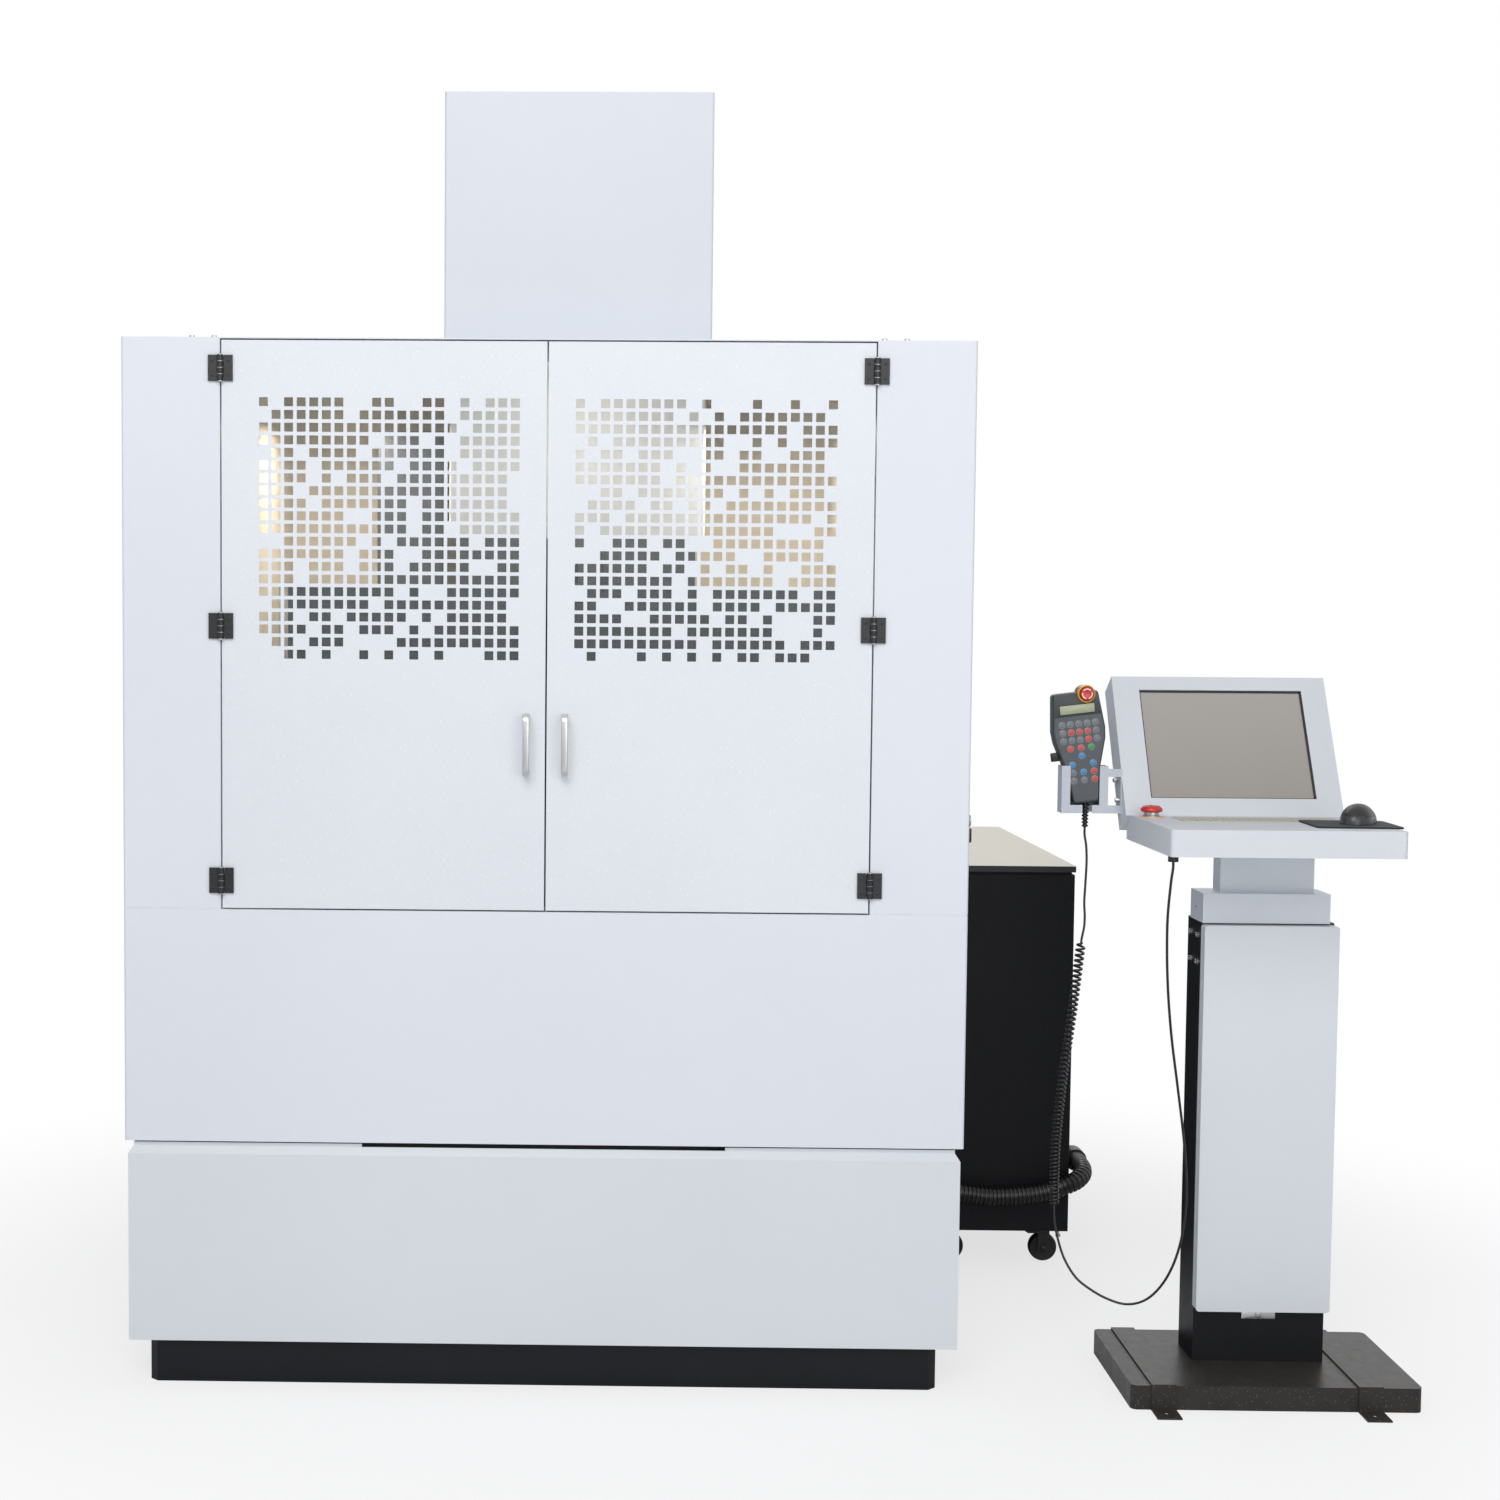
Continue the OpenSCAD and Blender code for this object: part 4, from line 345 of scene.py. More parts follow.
def pick(obj, kind, test):
    # kind is verts, edges or faces
    bpy.ops.mesh.select_mode(type={"verts": "VERT", "edges": "EDGE", "faces": "FACE"}[kind])
    bpy.ops.mesh.select_all(action="DESELECT")
    mesh = bmesh.from_edit_mesh(obj.data)
    for item in getattr(mesh, kind):
        if test(item):
            item.select_set(True)
    mesh.select_flush_mode()
    bmesh.update_edit_mesh(obj.data)


def edgeAlong(edge, axis, share=0.99):
    way = edge.verts[1].co - edge.verts[0].co
    return abs(way[axis]) > share * way.length


def finishPiece(obj, name, body, finish, smooth=35):
    onlySelect(obj)
    bpy.ops.object.transform_apply()
    obj.name = name
    obj.data.name = name
    obj.data.materials.clear()
    obj.data.materials.append(finish)
    bpy.ops.object.shade_smooth_by_angle(angle=math.radians(smooth))
    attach(obj, body)
    return obj


def softRims(obj, axis, rim, steps):
    pick(obj, "faces", lambda f: abs(f.normal[axis]) > 0.9)
    bpy.ops.mesh.region_to_loop()
    bpy.ops.mesh.bevel(offset=rim, segments=steps, affect="EDGES")


def plate(low, high, corner=0.0, rim=0.0, axis=2, cornerSteps=4, rimSteps=2):
    # a plate with round corners about one axis and softened rims
    clearSelection()
    middle = [(a + b) / 2 for a, b in zip(low, high)]
    size = [b - a for a, b in zip(low, high)]
    bpy.ops.mesh.primitive_cube_add(size=1.0, location=middle)
    obj = bpy.context.object
    obj.scale = size
    bpy.ops.object.transform_apply()
    editing(obj)
    if corner:
        pick(obj, "edges", lambda e: edgeAlong(e, axis))
        bpy.ops.mesh.bevel(offset=corner, segments=cornerSteps, affect="EDGES")
    if rim:
        softRims(obj, axis, rim, rimSteps)
    bpy.ops.object.mode_set(mode="OBJECT")
    return obj


def turned(profile, sides=32):
    # a turned shape that grows up Z from the origin, by (radius, height) steps
    clearSelection()
    bpy.ops.mesh.primitive_circle_add(vertices=sides, radius=profile[0][0], fill_type="NGON",
                                      location=(0.0, 0.0, profile[0][1]))
    obj = bpy.context.object
    bpy.ops.object.transform_apply()
    editing(obj)
    bpy.ops.mesh.select_all(action="SELECT")
    for (r0, h0), (r1, h1) in zip(profile, profile[1:]):
        bpy.ops.mesh.extrude_region_move(TRANSFORM_OT_translate={"value": (0.0, 0.0, h1 - h0)})
        bpy.ops.transform.resize(value=(r1 / r0, r1 / r0, 1.0), center_override=(0.0, 0.0, h1))
    bpy.ops.mesh.select_all(action="SELECT")
    bpy.ops.mesh.normals_make_consistent(inside=False)
    bpy.ops.object.mode_set(mode="OBJECT")
    return obj


def aim(obj, place, direction):
    # turns a shape made up Z to a direction, and carries its foot to a place
    turn = Vector((0.0, 0.0, 1.0)).rotation_difference(Vector(direction))
    onlySelect(obj)
    obj.data.transform(Matrix.Translation(place) @ turn.to_matrix().to_4x4())
    return obj


def bored(obj, radius, place, direction, length=0.2):
    # a round hole through a shape, its axis through a place
    clearSelection()
    bpy.ops.mesh.primitive_cylinder_add(vertices=40, radius=radius, depth=length)
    cutter = aim(bpy.context.object, place, direction)
    hole = obj.modifiers.new("hole", "BOOLEAN")
    hole.operation = "DIFFERENCE"
    hole.solver = "EXACT"
    hole.object = cutter
    onlySelect(obj)
    bpy.ops.object.modifier_apply(modifier="hole")
    bpy.data.objects.remove(cutter)
    return obj


def shifted(place, corners):
    return [tuple(p + q for p, q in zip(place, corner)) for corner in corners]


def joined(parts):
    clearSelection()
    for part in parts:
        part.select_set(True)
    bpy.context.view_layer.objects.active = parts[0]
    bpy.ops.object.join()
    return bpy.context.object


def roundArrows(b, middle, axis):
    # three broken arrows of five dashes each on the top of a stop button
    dashes = []
    for arrow in range(3):
        for k in range(5):
            angle = math.radians(arrow * 120 + k * b["dashStep"])
            dash = plate(*b["dash"], rim=0.0001, axis=axis, rimSteps=1)
            dash.data.transform(Matrix.Translation(middle) @ Matrix.Rotation(angle, 4, "XYZ"[axis])
                                @ Matrix.Translation((b["arrowRadius"], 0.0, 0.0)))
            dashes.append(dash)
    return joined(dashes)


# Cords
cordRoute = {
    "top": [(1003, -634, 1025), (1003, -634, 1010), (1006, -636, 990), (1007, -638, 960), (1005, -641, 920),
            (1003, -644, 885), (1004, -646, 860), (1003, -648, 840), (1000, -650, 826), (998, -650, 815)],
    "curls": [(998, -650, 815), (984, -654, 690), (966, -664, 560), (953, -674, 430), (951, -681, 316)],
    "tail": [(951, -681, 316), (952, -684, 290), (957, -688, 262), (968, -694, 226), (985, -702, 196),
             (1004, -710, 178), (1040, -722, 158), (1078, -735, 150), (1112, -750, 165), (1140, -766, 205),
             (1158, -782, 262), (1165, -798, 330), (1162, -815, 400), (1151, -833, 480), (1132, -856, 580),
             (1112, -882, 680), (1097, -908, 780), (1089, -930, 880), (1090, -943, 950), (1093, -945, 980),
             (1093, -945, 992)],
    "diameter": 0.0046,
    "curlDiameter": 0.019,
    "turns": 60,
    "easeShare": 0.22,
    "rampShare": 0.8,
    "pointsPerCurl": 14,
}
conduitRoute = {
    "points": [(782, -15, 185), (822, -15, 184), (884, -15, 178), (950, -15, 171), (1028, -15, 176),
               (1070, -15, 184), (1105, -15, 196), (1128, -9, 205), (1144, 7, 214), (1150, 30, 221),
               (1150, 60, 225), (1150, 100, 225)],
    "diameter": 0.040,
    "groove": 0.0026,
    "pitch": 0.009,
    "ribShares": ((0.0, -1), (0.22, -1), (0.38, 0), (0.84, 0)),   # along one rib: foot, foot, crown, crown
    "look": 0.004,   # how far before and after a place its direction is taken
    "sides": 24,
}


def smoothRoute(points, steps=6):
    # points in millimetres to a smooth curve in metres
    p = [Vector(q) / 1000.0 for q in points]
    curve = []
    for i in range(len(p) - 1):
        a, b, c, d = p[max(i - 1, 0)], p[i], p[i + 1], p[min(i + 2, len(p) - 1)]
        for k in range(steps):
            u = k / steps
            curve.append(0.5 * (2 * b + (c - a) * u + (2 * a - 5 * b + 4 * c - d) * u ** 2
                                + (3 * b - 3 * c + d - a) * u ** 3))
    return curve + [p[-1]]


def runningLengths(curve):
    lengths = [0.0]
    for a, b in zip(curve, curve[1:]):
        lengths.append(lengths[-1] + (b - a).length)
    return lengths


def pointAt(curve, lengths, s):
    i = max(k for k in range(len(curve) - 1) if lengths[k] <= s or k == 0)
    return curve[i] + (curve[i + 1] - curve[i]) * (s - lengths[i]) / (lengths[i + 1] - lengths[i])


def squareTo(curve, lengths, s, look, up):
    # the place at a running length and two directions square to the route there
    before = pointAt(curve, lengths, max(0.0, s - look))
    way = (pointAt(curve, lengths, min(lengths[-1], s + look)) - before).normalized()
    side = (Vector(up) - way.dot(Vector(up)) * way).normalized()
    return pointAt(curve, lengths, s), side, way.cross(side)


def curlPoints(c):
    axis = smoothRoute(c["curls"])
    lengths = runningLengths(axis)
    total, d = lengths[-1], c["diameter"]
    points = []
    count = c["turns"] * c["pointsPerCurl"]
    for i in range(count + 1):
        q = i / count
        s = d + (total - 2 * d) * (q + c["easeShare"] * q * (1 - q))
        middle, side, other = squareTo(axis, lengths, s, d, (1.0, 0.0, 0.0))
        reach = (c["curlDiameter"] - d) / 2 * math.sin(
            math.pi / 2 * min(1.0, min(q, 1 - q) * c["turns"] / c["rampShare"]))
        turn = 2 * math.pi * c["turns"] * q
        points.append(middle + reach * (math.cos(turn) * side + math.sin(turn) * other))
    return points


def makeCord(c):
    line = smoothRoute(c["top"])[:-1] + curlPoints(c) + smoothRoute(c["tail"])[1:]
    curve = bpy.data.curves.new("handsetCord", "CURVE")
    curve.dimensions = "3D"
    spline = curve.splines.new("POLY")
    spline.points.add(len(line) - 1)
    for point, place in zip(spline.points, line):
        point.co = (*place, 1.0)
    curve.bevel_depth = c["diameter"] / 2
    curve.bevel_resolution = 2
    curve.use_fill_caps = True
    cord = newObject("handsetCord", curve)
    curve.materials.append(cordSheath)
    for part in curve.splines:
        part.use_smooth = True
    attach(cord, "machine")
    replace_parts(cord, "cord_top", "cord_curls", "cord_tail")


def makeConduit(c):
    axis = smoothRoute(c["points"])
    lengths = runningLengths(axis)
    total = lengths[-1]
    ribs = round(total / c["pitch"])
    stations = []
    for i in range(ribs):   # each rib is a flat crown between two sloping flanks
        for share, radius in c["ribShares"]:
            stations.append(((i + share) * total / ribs, c["diameter"] / 2 + radius * c["groove"]))
    stations.append((total, c["diameter"] / 2 - c["groove"]))
    verts, faces, n = [], [], c["sides"]
    for s, radius in stations:
        middle, side, other = squareTo(axis, lengths, s, c["look"], (0.0, 0.0, 1.0))
        for k in range(n):
            turn = 2 * math.pi * k / n
            verts.append(middle + radius * (math.cos(turn) * side + math.sin(turn) * other))
    for i in range(len(stations) - 1):
        for k in range(n):
            a, b = i * n + k, i * n + (k + 1) % n
            faces.append((a, b, b + n, a + n))
    faces.append(tuple(reversed(range(n))))
    faces.append(tuple(range((len(stations) - 1) * n, len(stations) * n)))
    mesh = bpy.data.meshes.new("ribbedConduit")
    mesh.from_pydata(verts, [], faces)
    conduit = newObject("ribbedConduit", mesh)
    finishPiece(conduit, "ribbedConduit", "machine", conduitPlastic, 50)
    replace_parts(conduit, "conduit")


makeCord(cordRoute)
makeConduit(conduitRoute)
print("cords made")


# Bow handles, satin anodised
handle = {"x": 0.0345, "middle": 1.179, "height": 0.112, "reach": 0.036, "width": 0.012, "thick": 0.008,
          "bend": 0.014, "soften": 0.0022, "front": -0.8}


def makeHandle(h, side, name, body, node):
    low, high = h["middle"] - h["height"] / 2, h["middle"] + h["height"] / 2
    x0, x1 = side * h["x"] - h["width"] / 2, side * h["x"] + h["width"] / 2
    obj = plate((x0, h["front"] - h["reach"], low), (x1, h["front"], high))
    editing(obj)
    pick(obj, "faces", lambda f: f.normal.y > 0.9)
    bpy.ops.mesh.delete(type="FACE")
    pick(obj, "edges", lambda e: edgeAlong(e, 0) and e.verts[0].co.y < h["front"] - 0.001)
    bpy.ops.mesh.bevel(offset=h["bend"], segments=8, affect="EDGES")
    pick(obj, "faces", lambda f: abs(f.normal.x) > 0.9)
    bpy.ops.mesh.delete(type="FACE")
    bpy.ops.object.mode_set(mode="OBJECT")
    wall = obj.modifiers.new("wall", "SOLIDIFY")
    wall.thickness = h["thick"]
    wall.offset = -1.0
    soften = obj.modifiers.new("soften", "BEVEL")
    soften.width = h["soften"]
    soften.segments = 3
    soften.limit_method = "ANGLE"
    soften.angle_limit = math.radians(50)
    onlySelect(obj)
    bpy.ops.object.modifier_apply(modifier="wall")
    bpy.ops.object.modifier_apply(modifier="soften")
    finishPiece(obj, name, body, anodised, 40)
    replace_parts(obj, node)


makeHandle(handle, -1, "leftBowHandle", "left_door_body", "left_handle")
makeHandle(handle, 1, "rightBowHandle", "right_door_body", "right_handle")

# Washers between hinge knuckles and a screw head on each leaf
hinge = {"x": 0.5845, "y": -0.8064, "front": -0.8, "heights": (0.929, 1.388, 1.847), "knuckle": 0.006,
         "height": 0.046, "lines": (-0.0115, 0.0, 0.0115), "screwX": 0.0145, "leaf": 0.005,
         "screwRise": 0.013, "washer": (0.0001, 0.0005, 0.0003, 0.0005),
         "cap": [(0.0022, 0.0), (0.0048, 0.0), (0.0048, 0.0012), (0.0036, 0.002), (0.0005, 0.0022)],
         "screwHead": [(0.0026, 0.0), (0.0026, 0.0005), (0.00195, 0.0009), (0.00091, 0.0009),
                       (0.00078, 0.0004), (0.0001, 0.0004)]}


def makeHingeDetails(h):
    washers = []
    close, wide, low, high = h["washer"]
    inner, broad = h["knuckle"] + close, h["knuckle"] + wide
    for side in (-1, 1):
        for z in h["heights"]:
            for up in h["lines"]:
                ring = turned([(inner, -high), (broad, -low), (broad, low), (inner, high)], 24)
                washers.append(aim(ring, (side * h["x"], h["y"], z + up), (0, 0, 1)))
            for end in (-1, 1):
                place = (side * h["x"], h["y"], z + end * h["height"] / 2)
                washers.append(aim(turned(h["cap"], 20), place, (0, 0, end)))
    finishPiece(joined(washers), "hingeWashers", "machine", brightZinc)
    for body, name, outer in (("machine", "frameLeafScrews", 1), ("left_door_body", "leftLeafScrews", -1),
                              ("right_door_body", "rightLeafScrews", -1)):
        screws = []
        for side in ((-1, 1) if body == "machine" else ((-1,) if "left" in body else (1,))):
            for z in h["heights"]:
                for up in (-h["screwRise"], h["screwRise"]):
                    place = (side * (h["x"] + outer * h["screwX"]), h["front"] - h["leaf"], z + up)
                    screws.append(aim(turned(h["screwHead"], 16), place, (0, -1, 0)))
        finishPiece(joined(screws), name, body, hingeCoat)


makeHingeDetails(hinge)

# Bolts seen over the roof's front edge: a washer, a head and its socket
roofBolts = {
    "places": [(-0.64, -0.775, 1.902), (-0.60, -0.775, 1.902), (0.60, -0.775, 1.902), (0.64, -0.775, 1.902)],
    "head": [(0.007, 0.0), (0.007, 0.0009), (0.005, 0.00096), (0.005, 0.0054), (0.00425, 0.006),
             (0.0025, 0.006), (0.00225, 0.003), (0.0002, 0.003)],
}
bolts = [aim(turned(roofBolts["head"], 20), place, (0, 0, 1)) for place in roofBolts["places"]]
finishPiece(joined(bolts), "roofBolts", "machine", brightZinc)
print("enclosure dressed")

# Console: everything on its sloping face is made upright at the hinge line and leaned back
face = {"x": 1.266, "y": -0.694, "z": 1.052, "lean": 30.8,
        "screenMiddle": 0.002, "screenLow": 0.037, "screenWidth": 0.304, "screenHeight": 0.228,
        "shadowSheet": (0.0012, 0.003), "shadowWide": 0.004, "shadowThin": 0.0015}


def onFace(obj):
    obj.data.transform(Matrix.Translation((face["x"], face["y"], face["z"]))
                       @ Matrix.Rotation(math.radians(-face["lean"]), 4, "X"))
    return obj


def makeScreenRecessShadow(f):
    # painted shadow: a black frame in the recess round the screen, wide along the top and right, where the
    # recess casts its shade, and thin along the bottom and left
    x0, x1 = f["screenMiddle"] - f["screenWidth"] / 2, f["screenMiddle"] + f["screenWidth"] / 2
    z0, z1 = f["screenLow"], f["screenLow"] + f["screenHeight"]
    y0, y1 = f["shadowSheet"]
    wide, thin = f["shadowWide"], f["shadowThin"]
    strips = []
    for low, high in (((x0, y0, z1 - wide), (x1, y1, z1)), ((x0, y0, z0), (x1, y1, z0 + thin)),
                      ((x1 - wide, y0, z0), (x1, y1, z1)), ((x0, y0, z0), (x0 + thin, y1, z1))):
        strips.append(plate(low, high, rim=0.0002, axis=1, rimSteps=1))
    finishPiece(onFace(joined(strips)), "screenRecessShadow", "machine", blackTrimAndPaintedShadow)


makeScreenRecessShadow(face)

keyboard = {"low": (1.140, -0.811), "size": (0.295, 0.092), "top": 1.051, "bed": 1.048,
            "rows": [[1] * 15, [1.5] + [1] * 12 + [1.5], [1.8] + [1] * 11 + [2.2],
                     [2.3] + [1] * 10 + [2.7], [1.4, 1.2, 1.2, 6.6, 1.2, 1.2, 1.1, 1.1]],
            "gap": 0.0028, "rise": 0.0012, "film": 0.0004, "foot": 0.001}


def makeKeyboard(k):
    left, front = k["low"]
    right, back = left + k["size"][0], front + k["size"][1]
    bed = plate((left, front, k["bed"]), (right, back, k["top"] - k["film"]), corner=0.002, rim=0.0003)
    finishPiece(bed, "keyboardBed", "machine", keyGap)
    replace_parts(bed, "keyboard")
    keys = []
    deep = (k["size"][1] - k["gap"]) / len(k["rows"])
    for j, row in enumerate(reversed(k["rows"])):
        unit = (k["size"][0] - k["gap"]) / sum(row)
        x, y = left + k["gap"], front + k["gap"] + j * deep
        for width in row:
            low = (x, y, k["top"] - k["foot"])
            high = (x + width * unit - k["gap"], y + deep - k["gap"], k["top"] + k["rise"])
            keys.append(plate(low, high, corner=0.0015, rim=0.0004, cornerSteps=2, rimSteps=1))
            x += width * unit
    finishPiece(joined(keys), "keyboardKeys", "machine", keyIvory)


makeKeyboard(keyboard)

stopButton = {
    "place": (1.104, -0.730, 1.052), "bore": 0.0083,
    "ring": [(0.023, 0.0), (0.023, 0.0012), (0.02231, 0.0016), (0.0145, 0.0016)],
    "collar": [(0.0150, 0.0015), (0.0150, 0.0035), (0.0138, 0.0042), (0.0138, 0.0090), (0.0130, 0.0099),
               (0.0100, 0.0099), (0.0095, 0.0060)],
    "head": [(0.0079, 0.0020), (0.0079, 0.0160), (0.0142, 0.0160), (0.0142, 0.0100), (0.0172, 0.0098),
             (0.0196, 0.0112), (0.0200, 0.0135), (0.0193, 0.0162), (0.0172, 0.0185), (0.0140, 0.0208),
             (0.0122, 0.0212), (0.0085, 0.0203), (0.0001, 0.0200)],
    "arrowTop": 0.0203, "arrowRadius": 0.0098, "dashStep": 15,
    "dash": ((-0.0011, -0.0018, 0.0), (0.0011, 0.0018, 0.0004)),
}


def makeStopButton(s):
    x, y, z = s["place"]
    disc = bored(turned(s["ring"], 48), s["bore"], (0.0, 0.0, 0.0), (0, 0, 1))
    finishPiece(aim(disc, s["place"], (0, 0, 1)), "stopYellowRing", "machine", signYellow)
    collar = bored(turned(s["collar"], 40), s["bore"], (0.0, 0.0, 0.0), (0, 0, 1))
    finishPiece(aim(collar, s["place"], (0, 0, 1)), "stopCollar", "machine", brightZinc)
    head = aim(turned(s["head"], 48), s["place"], (0, 0, 1))
    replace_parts(finishPiece(head, "stopMushroom", "stop_button_body", stopRed, 45), "stop_button")
    arrows = roundArrows(s, (x, y, z + s["arrowTop"]), 2)
    finishPiece(arrows, "stopArrows", "stop_button_body", markWhite)


makeStopButton(stopButton)

mouse = {"place": (1.438, -0.859, 1.0553), "turn": 58.0, "length": 0.104, "width": 0.060, "height": 0.036,
         "greySides": 0.013, "waist": (0.10, 0.1, 0.15), "bluntShare": 0.85, "crownShare": 0.82,
         "hump": (0.26, 0.22, 0.12), "sideShare": 0.985, "topShare": 0.97, "wheelPlace": (0.033, 0.0, 0.0185),
         "wheel": [(0.0080, -0.0035), (0.0095, -0.0028), (0.0095, 0.0028), (0.0080, 0.0035)]}


def makeMouse(m):
    matrix = Matrix.Translation(m["place"]) @ Matrix.Rotation(math.radians(m["turn"]), 4, "Z")
    clearSelection()
    bpy.ops.mesh.primitive_uv_sphere_add(segments=48, ring_count=24, radius=1.0)
    shell = bpy.context.object
    fall, behind, nose = m["hump"]
    waistDeep, waistPlace, waistSpread = m["waist"]
    for v in shell.data.vertices:   # a ball, blunt at its ends, waisted, highest behind and flat below
        x, y, z = v.co
        waist = 1.0 - waistDeep * math.exp(-(x - waistPlace) ** 2 / waistSpread)
        back = math.copysign(abs(x) ** m["bluntShare"], x)
        v.co.x = back * m["length"] / 2 * m["sideShare"]
        v.co.y = y * m["width"] / 2 * waist * m["sideShare"]
        hump = 1.0 - fall * (x + behind) ** 2 - nose * max(0.0, x) ** 2
        v.co.z = max(0.0, z) ** m["crownShare"] * m["height"] * hump * m["topShare"] if z > 0 else 0.0
    editing(shell)
    bpy.ops.mesh.select_all(action="SELECT")
    bpy.ops.mesh.remove_doubles(threshold=0.00005)
    bpy.ops.mesh.normals_make_consistent(inside=False)
    bpy.ops.object.mode_set(mode="OBJECT")
    shell.data.transform(matrix)
    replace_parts(finishPiece(shell, "mouseShell", "mouse_body", mouseAbs, 60), "mouse")
    shell.data.materials.append(mouseSide)
    for face in shell.data.polygons:
        if face.center.z < m["place"][2] + m["greySides"]:
            face.material_index = 1
    wheel = aim(turned(m["wheel"], 28), m["wheelPlace"], (0, 1, 0))
    wheel.data.transform(matrix)
    finishPiece(wheel, "mouseWheel", "mouse_body", wheelRubber)


makeMouse(mouse)
print("console dressed")

# Handset: made upright at its foot, then leaned into its holder
handset = {
    "foot": (1.003, -0.650, 1.0673), "lean": 7.0, "height": 0.214, "depth": 0.032,
    "shares": (0.02, 0.33, 0.56, 0.66, 0.985), "halfWidths": (0.024, 0.033, 0.047, 0.049, 0.042),
    "corner": 0.008, "rim": 0.003, "inset": 0.0032, "step": 0.168, "film": 0.0005, "hood": 0.0018,
    "window": (0.064, 0.016, 0.1795), "across": 0.0155, "down": 0.015, "firstRow": 0.152,
    "spread": 1.25, "stopMiddle": (0.019, 0.206), "bore": 0.0074, "boreMiddle": -0.02,
    "boreLength": 0.061, "cup": 0.0134, "frameThin": 0.0003, "glass": (0.0006, 0.0001),
    "rows": ["ggggg", "grrrg", "gggrg", "rrn", " b ", "b b", "gbr", "ggr"],
    "sunk": 0.0005, "margin": 0.0012, "filmFoot": 0.004,
    "keyShape": [(0.0054, 0.0), (0.0054, 0.0005), (0.004644, 0.0010), (0.0027, 0.0012), (0.000108, 0.0013)],
    "keyRingShape": [(0.0064, 0.0), (0.0064, 0.0002), (0.0062, 0.0003), (0.00486, 0.0003)],
    "keyNames": (("g", "handsetGreyKeys", keyGrey), ("r", "handsetRedKeys", keyRed),
                 ("n", "handsetGreenKey", keyGreen), ("b", "handsetBlueKeys", keyBlue)),
    "relief": (1.003, -0.634, 1.025), "reliefRings": 7, "reliefHeight": 0.044,
    "reliefRadius": 0.0058, "reliefSpread": 0.0012, "reliefFoot": 0.0036, "reliefTop": (0.0060, 0.004),
    "reliefRib": [(-0.0022, 0.0), (-0.0002, 0.0006), (0.0, 0.0020), (-0.0002, 0.0034), (-0.0022, 0.0040)],
    "lobeShape": [(0.0145, 0.0), (0.016, 0.002), (0.016, 0.0309), (0.0152, 0.0319)],
    "grip": ((-0.0545, 0.010, 0.086), (-0.0400, 0.022, 0.102)), "frame": 0.0015,
    "cupShape": [(0.0163, -0.0060), (0.0163, 0.0064), (0.0155, 0.0080), (0.0143, 0.0084),
                 (0.0137, 0.0076), (0.0135, 0.0060)],
    "headShape": [(0.0069, -0.0038), (0.0069, 0.0054), (0.0120, 0.0054), (0.0128, 0.0064),
                  (0.0129, 0.0095), (0.0122, 0.0116), (0.0104, 0.0132), (0.0085, 0.0137),
                  (0.0060, 0.0131), (0.0001, 0.0128)],
    "arrowTop": 0.0134, "arrowRadius": 0.0090, "dashStep": 17,
    "dash": ((-0.0010, -0.0004, -0.0015), (0.0010, 0.0002, 0.0015)),
}


def onHandset(obj):
    obj.data.transform(Matrix.Translation(handset["foot"])
                       @ Matrix.Rotation(math.radians(-handset["lean"]), 4, "Y"))
    return obj


def roundCorners(points, radius, steps=5):
    result = []
    for i, point in enumerate(points):
        a, b, c = Vector(points[i - 1]), Vector(point), Vector(points[(i + 1) % len(points)])
        toA, toC = (a - b).normalized(), (c - b).normalized()
        reach = min(radius / math.tan(max(0.3, toA.angle(toC) / 2)), 0.45 * (a - b).length,
                    0.45 * (c - b).length)
        start, end = b + toA * reach, b + toC * reach
        for k in range(steps + 1):
            u = k / steps
            result.append(tuple(start.lerp(b, u).lerp(b.lerp(end, u), u)))
    return result


def slab(points, near, far, rim, rimSteps):
    # a flat shape drawn in X and Z, thick along Y, with softened rims
    mesh = bpy.data.meshes.new("slab")
    mesh.from_pydata([(x, near, z) for x, z in points], [], [tuple(range(len(points)))])
    obj = newObject("slab", mesh)
    editing(obj)
    bpy.ops.mesh.select_all(action="SELECT")
    bpy.ops.mesh.extrude_region_move(TRANSFORM_OT_translate={"value": (0.0, far - near, 0.0)})
    bpy.ops.mesh.select_all(action="SELECT")
    bpy.ops.mesh.normals_make_consistent(inside=False)
    softRims(obj, 1, rim, rimSteps)
    bpy.ops.object.mode_set(mode="OBJECT")
    return obj


def handsetOutline(h, inset, low, high):
    # half widths followed between two heights
    levels = [s * h["height"] for s in h["shares"]]

    def halfAt(z):
        for (z0, w0), (z1, w1) in zip(zip(levels, h["halfWidths"]), zip(levels[1:], h["halfWidths"][1:])):
            if z <= z1:
                return w0 + (w1 - w0) * max(0.0, z - z0) / (z1 - z0)
        return h["halfWidths"][-1]

    heights = [low] + [z for z in levels if low + 0.004 < z < high - 0.004] + [high]
    right = [(halfAt(z) - inset, z) for z in heights]
    return right + [(-x, z) for x, z in reversed(right)]


